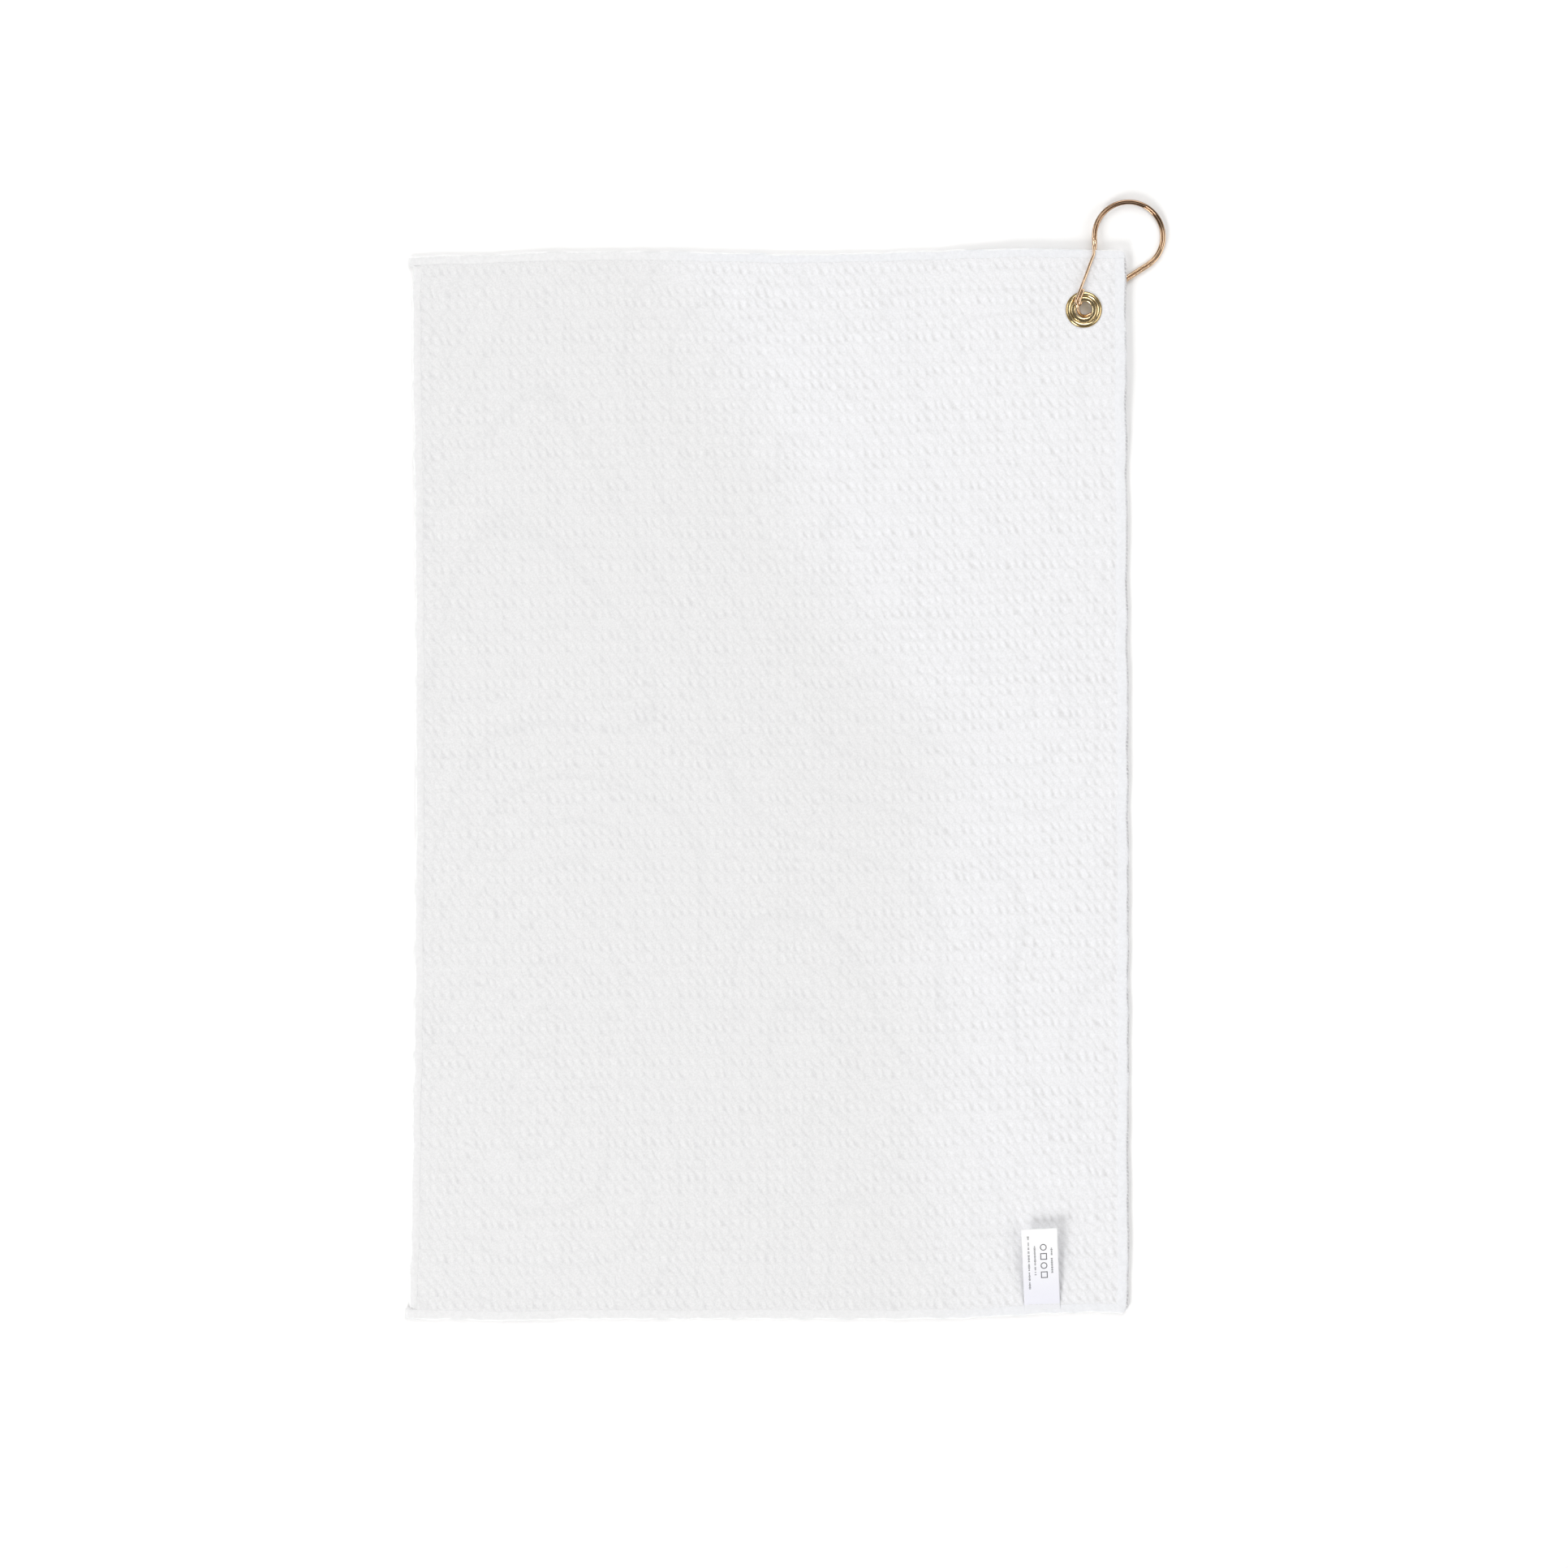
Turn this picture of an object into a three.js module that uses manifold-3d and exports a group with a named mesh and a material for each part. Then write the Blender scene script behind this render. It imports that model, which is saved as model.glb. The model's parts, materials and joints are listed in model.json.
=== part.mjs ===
// Golf towel: a waffle-woven cloth with folded hems, a brass grommet and a doubled wire hook.
// Millimetres, +Z up. The towel lies flat on Z = 0 with the origin under its middle. +Y points to
// the end that carries the grommet, +X to the side that carries it. The hook straddles the corner:
// its shank lies over the cloth, its tip lies under it, so the cloth rises a little round the grommet.
import * as THREE from 'three';
import { mergeVertices } from 'three/addons/utils/BufferGeometryUtils.js';
import Module from 'manifold-3d';

const wasm = await Module();
wasm.setup();

const { lerp, smoothstep, degToRad } = THREE.MathUtils;

// The cloth. A 16 in by 24 in towel.
const INCH = 25.4;
const TOWEL_WIDTH = 16 * INCH;
const TOWEL_LENGTH = 24 * INCH;
const RIGHT = TOWEL_WIDTH / 2;
const TOP = TOWEL_LENGTH / 2;
const PANEL_THICKNESS = 2.0;
const HEM_THICKNESS = 2.4;
const TOP_HEM_WIDTH = 6.4;
const BOTTOM_HEM_WIDTH = 8.0;
const SIDE_HEM_WIDTH = 7.4;
const HEM_EAR = 2.4;
const FOLD_CURVE_SEGMENTS = 3;
const GAP = 0.3;

// The sewing.
const SEAM_FROM_FOLD = 1.3;
const SEAM_GROOVE_WIDTH = 1.2;
const SEAM_GROOVE_DEPTH = 0.8;
const THREAD_WIDTH = 0.6;
const THREAD_HEIGHT = 0.45;
const OVERLOCK_WIDTH = 1.3;

// The grommet: a size 2 brass set.
const GROMMET_X = RIGHT - 23.8;
const GROMMET_Y = TOP - 33.5;
const HOLE_RADIUS = 4.75;
const BARREL_RADIUS = 5.25;
const PUNCH_RADIUS = BARREL_RADIUS + GAP;
const GROMMET_RADIUS = 10.3;
const LIP_RADIUS = 7.1;
const BRASS_SHEET = 0.45;

// How far the cloth stands off the surface round the grommet, and where it comes down again.
const CORNER_LIFT = 3.1;
const LIFT_FLAT_RADIUS = 47;
const LIFT_END_RADIUS = 96;
const GRID_STEP = 8;
const GRID_COARSE_CELLS = 5;

// The hook: spring wire, doubled back at its tip so that two strands run side by side.
const WIRE_RADIUS = 0.75;
const LOOP_RADIUS = 19.6;
const LOOP_CENTRE = new THREE.Vector2(25.75, 42);
const LOOP_END_DEG = -57;
const STRAND_ACROSS = 0.56;
const STRAND_UP = 0.58;
const NECK_Z = 4.2;
const TIP_Z = 1.42;
const TIP_RUN = 27;
const TIP_BEND_RADIUS = 1.15;
const WIRE_CURVE_SEGMENTS = 4;

// The care label, caught in the bottom hem's seam and standing up a little at its free end.
const LABEL_WIDTH = 20.4;
const LABEL_LENGTH = 42.4;
const LABEL_THICKNESS = 0.35;
const LABEL_SEAM = new THREE.Vector3(155.7, -TOP + BOTTOM_HEM_WIDTH + 0.6, 3);
const LABEL_TURN_DEG = 2.5;
const LABEL_RISE_DEG = 8;

const MATERIALS = {
  cloth: new THREE.MeshStandardMaterial({ color: 0xf1f2f4, roughness: 0.95, metalness: 0 }),
  hem: new THREE.MeshStandardMaterial({ color: 0xf4f5f7, roughness: 0.9, metalness: 0 }),
  thread: new THREE.MeshStandardMaterial({ color: 0xe4e6ea, roughness: 0.8, metalness: 0 }),
  brass: new THREE.MeshStandardMaterial({ color: 0xd9c27a, roughness: 0.25, metalness: 1 }),
  wire: new THREE.MeshStandardMaterial({ color: 0xb98a5e, roughness: 0.25, metalness: 1 }),
  satin: new THREE.MeshStandardMaterial({ color: 0xfafafc, roughness: 0.45, metalness: 0 }),
};

// A curve that is sampled by its control points rather than by length, so tight bends get more steps.
class RouteCurve extends THREE.CatmullRomCurve3 {
  getPointAt(u, target) {
    return this.getPoint(u, target);
  }

  getTangentAt(u, target) {
    return this.getTangent(u, target);
  }
}

// Height of the cloth's underside.
function lift(x, y) {
  const distance = Math.hypot(x - GROMMET_X, y - GROMMET_Y);
  return CORNER_LIFT * (1 - smoothstep(distance, LIFT_FLAT_RADIUS, LIFT_END_RADIUS));
}

// Grid lines along one side: far apart where the cloth is flat, closer where it rises.
function gridLines(low, high, grommet) {
  const rise = grommet - LIFT_END_RADIUS;
  const fineCells = Math.ceil((high - rise) / GRID_STEP);
  const lines = [];
  for (let i = 0; i < GRID_COARSE_CELLS; i++) {
    lines.push(lerp(low, rise, i / GRID_COARSE_CELLS));
  }
  for (let i = 0; i <= fineCells; i++) {
    lines.push(lerp(rise, high, i / fineCells));
  }
  return lines;
}

function weld(geometry) {
  geometry.deleteAttribute('normal');
  geometry.deleteAttribute('uv');
  return mergeVertices(geometry, 1e-4);
}

function toManifold(geometry) {
  const welded = weld(geometry);
  const vertProperties = new Float32Array(welded.attributes.position.array);
  const triVerts = new Uint32Array(welded.index.array);
  return new wasm.Manifold(new wasm.Mesh({ numProp: 3, vertProperties, triVerts }));
}

function fromManifold(solid) {
  const mesh = solid.getMesh();
  const geometry = new THREE.BufferGeometry();
  geometry.setAttribute('position', new THREE.BufferAttribute(mesh.vertProperties, 3));
  geometry.setIndex(new THREE.BufferAttribute(mesh.triVerts, 1));
  geometry.computeVertexNormals();
  return geometry;
}

function named(name, geometry, material) {
  const mesh = new THREE.Mesh(geometry, material);
  mesh.name = name;
  return mesh;
}

// Moves every vertex of a geometry by a function of its position.
function reshape(geometry, move) {
  const position = geometry.attributes.position;
  const point = new THREE.Vector3();
  for (let i = 0; i < position.count; i++) {
    point.fromBufferAttribute(position, i);
    move(point);
    position.setXYZ(i, point.x, point.y, point.z);
  }
  return geometry;
}

// The woven field between the four hems, with the hole punched for the grommet.
function towelPanel() {
  const left = -RIGHT + SIDE_HEM_WIDTH + GAP;
  const right = RIGHT - SIDE_HEM_WIDTH - GAP;
  const bottom = -TOP + BOTTOM_HEM_WIDTH + GAP;
  const top = TOP - TOP_HEM_WIDTH - GAP;
  const xs = gridLines(left, right, GROMMET_X);
  const ys = gridLines(bottom, top, GROMMET_Y);
  const across = xs.length - 1;
  const along = ys.length - 1;
  const slab = reshape(new THREE.BoxGeometry(1, 1, 1, across, along, 1), (point) => {
    point.x = xs[Math.round((point.x + 0.5) * across)];
    point.y = ys[Math.round((point.y + 0.5) * along)];
    point.z = (point.z + 0.5) * PANEL_THICKNESS + lift(point.x, point.y);
  });
  const punch = new THREE.CylinderGeometry(PUNCH_RADIUS, PUNCH_RADIUS, 20, 32);
  punch.rotateX(Math.PI / 2);
  punch.translate(GROMMET_X, GROMMET_Y, 0);
  return named('towel_panel', fromManifold(toManifold(slab).subtract(toManifold(punch))), MATERIALS.cloth);
}

// A strip that runs along one side of the towel. Its section is drawn with x inwards from the
// towel's edge and y up. `lines` are the stations along the side, in the direction of travel.
function edgeStrip(section, side, lines) {
  const steps = lines.length - 1;
  const strip = new THREE.ExtrudeGeometry(section, {
    depth: 1,
    steps,
    curveSegments: FOLD_CURVE_SEGMENTS,
    bevelEnabled: false,
  });
  return reshape(strip, (point) => {
    const along = lines[Math.round(point.z * steps)];
    const x = side.edge.x + side.inwards.x * point.x + side.travel.x * along;
    const y = side.edge.y + side.inwards.y * point.x + side.travel.y * along;
    point.set(x, y, point.y + lift(x, y));
  });
}

const SIDES = {
  top: {
    edge: new THREE.Vector2(0, TOP),
    inwards: new THREE.Vector2(0, -1),
    travel: new THREE.Vector2(-1, 0),
    width: TOP_HEM_WIDTH,
    lines: gridLines(-RIGHT - HEM_EAR, RIGHT, GROMMET_X).map((x) => -x).reverse(),
  },
  bottom: {
    edge: new THREE.Vector2(0, -TOP),
    inwards: new THREE.Vector2(0, 1),
    travel: new THREE.Vector2(1, 0),
    width: BOTTOM_HEM_WIDTH,
    lines: [-RIGHT - HEM_EAR, -RIGHT / 2, 0, RIGHT / 2, RIGHT],
  },
  left: {
    edge: new THREE.Vector2(-RIGHT, 0),
    inwards: new THREE.Vector2(1, 0),
    travel: new THREE.Vector2(0, -1),
    width: SIDE_HEM_WIDTH,
    lines: [-TOP + TOP_HEM_WIDTH + GAP, -TOP / 2, 0, TOP / 2, TOP - BOTTOM_HEM_WIDTH - GAP],
  },
  right: {
    edge: new THREE.Vector2(RIGHT, 0),
    inwards: new THREE.Vector2(-1, 0),
    travel: new THREE.Vector2(0, 1),
    width: SIDE_HEM_WIDTH,
    lines: gridLines(-TOP + BOTTOM_HEM_WIDTH + GAP, TOP - TOP_HEM_WIDTH - GAP, GROMMET_Y),
  },
};

// A doubled edge: rounded at the fold, square where it meets the panel, grooved along its seam.
function hemSection(from, width) {
  const fold = HEM_THICKNESS / 2;
  const grooveFar = width - SEAM_FROM_FOLD - SEAM_GROOVE_WIDTH / 2;
  const grooveNear = grooveFar + SEAM_GROOVE_WIDTH;
  const section = new THREE.Shape();
  section.moveTo(width, 0);
  section.lineTo(width, HEM_THICKNESS);
  section.lineTo(grooveNear, HEM_THICKNESS);
  section.lineTo(grooveNear, HEM_THICKNESS - SEAM_GROOVE_DEPTH);
  section.lineTo(grooveFar, HEM_THICKNESS - SEAM_GROOVE_DEPTH);
  section.lineTo(grooveFar, HEM_THICKNESS);
  section.lineTo(from + fold, HEM_THICKNESS);
  section.absarc(from + fold, fold, fold, Math.PI / 2, Math.PI * 1.5, false);
  section.closePath();
  return section;
}

function hem(name, side, from) {
  return named(name, edgeStrip(hemSection(from, side.width), side, side.lines), MATERIALS.hem);
}

// The thread row that holds a hem, sunk in its groove.
function seamThread(name, side) {
  const middle = side.width - SEAM_FROM_FOLD;
  const base = HEM_THICKNESS - SEAM_GROOVE_DEPTH + GAP;
  const section = new THREE.Shape();
  section.moveTo(middle - THREAD_WIDTH / 2, base);
  section.lineTo(middle + THREAD_WIDTH / 2, base);
  section.lineTo(middle + THREAD_WIDTH / 4, base + THREAD_HEIGHT);
  section.lineTo(middle - THREAD_WIDTH / 4, base + THREAD_HEIGHT);
  section.closePath();
  return named(name, edgeStrip(section, side, side.lines), MATERIALS.thread);
}

// The looped thread over the right edge, as one bead along it.
function rightEdgeOverlock() {
  const radius = HEM_THICKNESS / 2 - 0.1;
  const section = new THREE.Shape();
  section.absellipse(OVERLOCK_WIDTH, HEM_THICKNESS / 2, OVERLOCK_WIDTH, radius,
    Math.PI / 2, Math.PI * 1.5, false);
  section.closePath();
  return named('right_edge_overlock', edgeStrip(section, SIDES.right, SIDES.right.lines), MATERIALS.thread);
}

// A ring turned about the grommet's axis. `profile` lists radius and height, anticlockwise round
// the section.
function turned(name, profile) {
  const closed = [...profile, profile[0]].map(([radius, z]) => new THREE.Vector2(radius, z));
  const ring = new THREE.LatheGeometry(closed, 32);
  ring.rotateX(Math.PI / 2);
  ring.translate(GROMMET_X, GROMMET_Y, 0);
  return named(name, ring, MATERIALS.brass);
}

// Barrel, the flange under the cloth, and the lip rolled outwards over the washer.
function grommetEyelet() {
  const flangeTop = CORNER_LIFT - GAP;
  const flangeBase = flangeTop - 2 * BRASS_SHEET;
  const lipBase = CORNER_LIFT + PANEL_THICKNESS + BRASS_SHEET + 2 * GAP;
  const lipTop = lipBase + BRASS_SHEET;
  return turned('grommet_eyelet', [
    [HOLE_RADIUS, flangeBase + 0.3],
    [HOLE_RADIUS, lipTop - 0.4],
    [HOLE_RADIUS + 0.2, lipTop - 0.1],
    [BARREL_RADIUS, lipTop],
    [LIP_RADIUS - 0.4, lipTop],
    [LIP_RADIUS, lipTop - 0.2],
    [LIP_RADIUS, lipBase],
    [BARREL_RADIUS, lipBase],
    [BARREL_RADIUS, flangeTop],
    [GROMMET_RADIUS - 0.5, flangeTop],
    [GROMMET_RADIUS, flangeTop - 0.3],
    [GROMMET_RADIUS - 0.3, flangeBase + 0.3],
    [GROMMET_RADIUS - 1.2, flangeBase],
    [HOLE_RADIUS + 0.4, flangeBase],
  ].reverse());
}

// The ring on the upper side: flat under the lip, then a raised bead out to its rim.
function grommetWasher() {
  const base = CORNER_LIFT + PANEL_THICKNESS + GAP;
  const beadStart = LIP_RADIUS + GAP + 0.1;
  const beadMiddle = (beadStart + GROMMET_RADIUS) / 2;
  return turned('grommet_washer', [
    [PUNCH_RADIUS, base],
    [GROMMET_RADIUS - 0.2, base],
    [GROMMET_RADIUS, base + 0.2],
    [GROMMET_RADIUS - 0.1, base + 0.6],
    [GROMMET_RADIUS - 0.7, base + 0.95],
    [beadMiddle, base + 1.1],
    [beadStart + 0.4, base + 0.95],
    [beadStart, base + BRASS_SHEET],
    [PUNCH_RADIUS, base + BRASS_SHEET],
  ]);
}

// Middle line of the doubled part: round the loop from the neck and straight in to the tip.
// Each station holds a point, the direction of travel and the height.
function loopStations() {
  const stations = [];
  const arcSteps = 26;
  for (let i = 0; i <= arcSteps; i++) {
    const angle = degToRad(lerp(180, LOOP_END_DEG, i / arcSteps));
    const z = lerp(NECK_Z, TIP_Z, smoothstep(i, 0, arcSteps * 0.75));
    const x = LOOP_CENTRE.x + LOOP_RADIUS * Math.cos(angle);
    const y = LOOP_CENTRE.y + LOOP_RADIUS * Math.sin(angle);
    stations.push({ x, y, dx: Math.sin(angle), dy: -Math.cos(angle), z });
  }
  const arcEnd = stations[stations.length - 1];
  const tipSteps = 5;
  for (let i = 1; i <= tipSteps; i++) {
    const run = TIP_RUN * i / tipSteps;
    stations.push({ ...arcEnd, x: arcEnd.x + arcEnd.dx * run, y: arcEnd.y + arcEnd.dy * run });
  }
  return stations;
}

// One of the two strands: the front one lies outside and above, the back one inside and below.
function strand(stations, sign) {
  return stations.map(({ x, y, dx, dy, z }) => new THREE.Vector3(
    x - dy * STRAND_ACROSS * sign, y + dx * STRAND_ACROSS * sign, z + STRAND_UP * sign));
}

// The turn that joins the two strands at the tip, wider than they are apart.
function tipBend(stations) {
  const end = stations[stations.length - 1];
  const along = new THREE.Vector3(end.dx, end.dy, 0);
  const across = new THREE.Vector3(-end.dy, end.dx, 0);
  const middle = new THREE.Vector3(end.x, end.y, end.z).addScaledVector(along, 3.2);
  const bend = [];
  for (let i = 0; i <= 6; i++) {
    const angle = degToRad(lerp(100, -100, i / 6));
    const point = middle.clone();
    point.addScaledVector(along, TIP_BEND_RADIUS * Math.cos(angle));
    point.addScaledVector(across, TIP_BEND_RADIUS * Math.sin(angle));
    point.z += 0.3 * Math.sin(angle);
    bend.push(point);
  }
  return bend;
}

// The front leg, from its end under the cloth up through the hole, along the shank to the neck.
// Points are measured from the grommet's axis.
const FRONT_LEG = [
  [9.6, 0.6, 0.85],
  [7.4, -0.6, 0.85],
  [5.2, -1.7, 0.88],
  [3.3, -2.7, 0.98],
  [1.6, -3.3, 1.35],
  [0.2, -3.45, 2.1],
  [-1.2, -3.1, 3.1],
  [-2.2, -2.4, 4.0],
  [-2.85, -1.4, 4.9],
  [-3.15, -0.3, 5.8],
  [-3.4, 0.8, 6.65],
  [-3.85, 2.1, 7.3],
  [-4.4, 3.5, 7.55],
  [-4.55, 4.9, 7.6],
  [-4.0, 6.4, 7.6],
  [-1.9, 11.8, 7.5],
  [1.0, 19.2, 7.1],
  [3.8, 26.9, 6.8],
  [5.5, 31.2, 6.7],
  [5.75, 32.6, 6.68],
  [5.72, 34.6, 6.65],
  [5.65, 36.6, 6.6],
  [5.6, 38.5, 6.2],
  [5.59, 40.3, 5.4],
];

// The back leg, from the neck down under the hem, up through the hole to its end beside the shank.
const BACK_LEG = [
  [6.71, 40.3, 2.95],
  [6.7, 38.5, 2.15],
  [6.6, 36.4, 1.95],
  [6.2, 34.4, 1.9],
  [5.2, 29.6, 1.7],
  [3.4, 21.6, 1.3],
  [1.4, 13.6, 1.0],
  [-0.2, 7.4, 0.9],
  [-1.1, 4.4, 0.92],
  [-1.7, 3.2, 1.15],
  [-2.1, 2.6, 1.9],
  [-2.2, 2.5, 3.0],
  [-2.1, 2.5, 4.4],
  [-2.0, 2.7, 5.7],
  [-2.15, 3.1, 6.85],
  [-2.4, 4.2, 7.55],
  [-2.35, 5.9, 7.65],
  [-1.45, 8.3, 7.6],
  [-0.35, 11.1, 7.5],
];

function wireHook() {
  const fromGrommet = ([x, y, z]) => new THREE.Vector3(x, y, z);
  const stations = loopStations();
  const route = [
    ...FRONT_LEG.map(fromGrommet),
    ...strand(stations, 1),
    ...tipBend(stations),
    ...strand(stations, -1).reverse(),
    ...BACK_LEG.map(fromGrommet),
  ];
  const curve = new RouteCurve(route, false, 'centripetal');
  const section = new THREE.Shape();
  section.absarc(0, 0, WIRE_RADIUS, 0, Math.PI * 2, false);
  const wire = new THREE.ExtrudeGeometry(section, {
    steps: (route.length - 1) * 2,
    curveSegments: WIRE_CURVE_SEGMENTS,
    extrudePath: curve,
  });
  wire.translate(GROMMET_X, GROMMET_Y, 0);
  return named('wire_hook', wire, MATERIALS.wire);
}

// The label's seam end starts just off its fold line and rises towards the free end.
function careLabel() {
  const label = new THREE.BoxGeometry(LABEL_WIDTH, LABEL_LENGTH, LABEL_THICKNESS);
  label.translate(0, LABEL_LENGTH / 2, 0);
  label.rotateX(degToRad(LABEL_RISE_DEG));
  label.rotateZ(degToRad(LABEL_TURN_DEG));
  label.translate(LABEL_SEAM.x, LABEL_SEAM.y, LABEL_SEAM.z);
  return named('care_label', label, MATERIALS.satin);
}

const towel = new THREE.Group();
towel.add(towelPanel());
towel.add(hem('top_hem', SIDES.top, 0));
towel.add(hem('bottom_hem', SIDES.bottom, 0));
towel.add(hem('left_hem', SIDES.left, 0));
towel.add(hem('right_hem', SIDES.right, OVERLOCK_WIDTH + GAP));
towel.add(seamThread('top_hem_stitching', SIDES.top));
towel.add(seamThread('bottom_hem_stitching', SIDES.bottom));
towel.add(seamThread('left_hem_stitching', SIDES.left));
towel.add(seamThread('right_hem_stitching', SIDES.right));
towel.add(rightEdgeOverlock());
towel.add(grommetEyelet());
towel.add(grommetWasher());
towel.add(wireHook());
towel.add(careLabel());

export default towel;
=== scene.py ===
"""Looks of the golf towel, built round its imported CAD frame. Metres, +Z up."""

import json
import math

import bpy
import numpy as np
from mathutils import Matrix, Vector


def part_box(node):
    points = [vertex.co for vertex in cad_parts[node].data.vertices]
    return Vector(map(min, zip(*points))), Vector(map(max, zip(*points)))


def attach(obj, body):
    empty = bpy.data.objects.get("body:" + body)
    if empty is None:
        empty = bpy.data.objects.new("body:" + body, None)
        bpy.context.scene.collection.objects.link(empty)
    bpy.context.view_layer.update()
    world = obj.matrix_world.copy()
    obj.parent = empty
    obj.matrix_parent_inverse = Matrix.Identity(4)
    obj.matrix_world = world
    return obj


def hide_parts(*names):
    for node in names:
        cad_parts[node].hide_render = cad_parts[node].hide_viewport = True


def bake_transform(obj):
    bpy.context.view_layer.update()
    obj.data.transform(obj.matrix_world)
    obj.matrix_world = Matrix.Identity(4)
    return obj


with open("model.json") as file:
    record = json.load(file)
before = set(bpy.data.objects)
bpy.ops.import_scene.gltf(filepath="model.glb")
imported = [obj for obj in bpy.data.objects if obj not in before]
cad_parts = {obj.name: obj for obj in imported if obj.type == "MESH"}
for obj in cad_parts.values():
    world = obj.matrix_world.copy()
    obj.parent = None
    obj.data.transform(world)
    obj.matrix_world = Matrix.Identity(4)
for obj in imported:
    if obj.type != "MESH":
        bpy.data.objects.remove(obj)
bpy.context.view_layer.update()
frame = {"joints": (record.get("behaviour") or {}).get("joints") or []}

MM = 0.001
TAU = 2 * math.pi

# The towel's rectangle and the widths of its hems, from the frame.
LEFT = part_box("left_hem")[0].x
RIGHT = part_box("right_edge_overlock")[1].x
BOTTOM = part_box("bottom_hem")[0].y
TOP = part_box("top_hem")[1].y
WIDTH = RIGHT - LEFT
LENGTH = TOP - BOTTOM
EAR_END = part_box("top_hem")[0].x
TOP_HEM_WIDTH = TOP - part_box("top_hem")[0].y
BOTTOM_HEM_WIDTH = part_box("bottom_hem")[1].y - BOTTOM

# The grommet's axis, rim and height, and how the cloth rises round it.
GROMMET_LOW, GROMMET_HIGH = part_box("grommet_washer")
GROMMET_X = (GROMMET_LOW.x + GROMMET_HIGH.x) / 2
GROMMET_Y = (GROMMET_LOW.y + GROMMET_HIGH.y) / 2
GROMMET_RADIUS = (GROMMET_HIGH.x - GROMMET_LOW.x) / 2
WASHER_BASE = GROMMET_LOW.z
CORNER_LIFT = 3.1 * MM
LIFT_FLAT_RADIUS = 47 * MM
LIFT_END_RADIUS = 96 * MM

# Cloth thicknesses, and the hole punched for the grommet.
PANEL_THICKNESS = 2.0 * MM
HEM_THICKNESS = 2.4 * MM
EDGE_THICKNESS = 1.0 * MM
PUNCH_RADIUS = 5.8 * MM

# The label's hinge: a point on its seam and the direction of the seam.
LABEL_FOLD = next(joint for joint in frame["joints"] if joint["name"] == "label_fold")
LABEL_SEAM = np.array(LABEL_FOLD["pos_m"], float)
LABEL_SIDEWAYS = np.array(LABEL_FOLD["axis"], float)

# One cell of the waffle weave, its mesh, and its relief.
CELL_X = 5.03 * MM
CELL_Y = 6.57 * MM
CELL_STEPS = 8
WAFFLE_DEPTH = 0.34 * MM

# Sewing.
STITCH_PITCH = 3.0 * MM
STITCH_RADIUS = 0.15 * MM
SEAM_FROM_EDGE = {"top": 5.1 * MM, "bottom": 5.6 * MM, "left": 4.9 * MM, "right": 6.3 * MM}
SEAM_GROOVE = {"top": 0.15 * MM, "bottom": 0.15 * MM, "left": 0.12 * MM, "right": 0.05 * MM}
EDGE_INSET = {"right": 0.3 * MM}
STITCH_REACH = 0.43 * STITCH_PITCH
STITCH_BOW = 0.28 * MM
STITCH_SWING = 0.05 * MM
STITCH_OVER = HEM_THICKNESS - 0.78 * MM
STITCH_UNDER = 0.42 * MM
LABEL_WIDTH = 20.4 * MM
LABEL_STITCH_RISE = 0.55 * MM
OVERLOCK_PITCH = 2.3 * MM
OVERLOCK_RADIUS = 0.27 * MM
CHAIN_RADIUS = 0.22 * MM
CHAIN_SWING = 0.2 * MM
CHAIN_RISE = 0.4 * MM
LOOP_LOWEST = 0.3 * MM


# ---------- camera

CAMERA_HEIGHT = 5.0
CAMERA_X = 8.3 * MM
CAMERA_Y = 0.6 * MM
VIEW_WIDTH = 0.8958
SENSOR_WIDTH = 36


def make_camera():
    data = bpy.data.cameras.new("camera")
    data.sensor_width = SENSOR_WIDTH
    data.lens = SENSOR_WIDTH * CAMERA_HEIGHT / VIEW_WIDTH
    data.clip_end = 100
    camera = bpy.data.objects.new("camera", data)
    camera.location = (CAMERA_X, CAMERA_Y, CAMERA_HEIGHT)
    bpy.context.collection.objects.link(camera)
    bpy.context.scene.camera = camera


make_camera()


# ---------- numbers and curves

def smoothstep(value, low, high):
    t = np.clip((value - low) / (high - low), 0, 1)
    return t * t * (3 - 2 * t)


def arch(share):
    """Rises from 0 to 1 and falls back to 0 as the share goes from 0 to 1."""
    return np.sin(np.clip(share, 0, 1) * math.pi)


def mix(a, b, share):
    return a + (b - a) * share


def waves(x, y, wavelength, seed, count=9):
    """A smooth random field of about unit height: a sum of plane waves."""
    rng = np.random.default_rng(seed)
    total = np.zeros(np.broadcast(x, y).shape)
    for _ in range(count):
        angle, phase = rng.uniform(0, TAU, 2)
        reach = wavelength * rng.uniform(0.7, 1.4)
        total += np.sin((x * np.cos(angle) + y * np.sin(angle)) * TAU / reach + phase)
    return total * math.sqrt(2 / count)


def between(t, low, high, first, last):
    """The value at t on the line from `first` at low to `last` at high."""
    return ((high - t) * first + (t - low) * last) / (high - low)


def centripetal_curve(points, steps):
    """Points along a centripetal Catmull-Rom curve, with `steps` to each span."""
    points = np.asarray(points, float)
    padded = np.vstack([2 * points[0] - points[1], points, 2 * points[-1] - points[-2]])
    found = []
    for i in range(len(points) - 1):
        p0, p1, p2, p3 = padded[i:i + 4]
        t1 = max(np.linalg.norm(p1 - p0) ** 0.5, 1e-9)
        t2 = t1 + max(np.linalg.norm(p2 - p1) ** 0.5, 1e-9)
        t3 = t2 + max(np.linalg.norm(p3 - p2) ** 0.5, 1e-9)
        t = np.linspace(t1, t2, steps, endpoint=False)[:, None]
        a1 = between(t, 0, t1, p0, p1)
        a2 = between(t, t1, t2, p1, p2)
        a3 = between(t, t2, t3, p2, p3)
        b1 = between(t, 0, t2, a1, a2)
        b2 = between(t, t1, t3, a2, a3)
        found.append(between(t, t1, t2, b1, b2))
    found.append(points[-1:])
    return np.vstack(found)


# ---------- how the cloth lies

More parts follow.
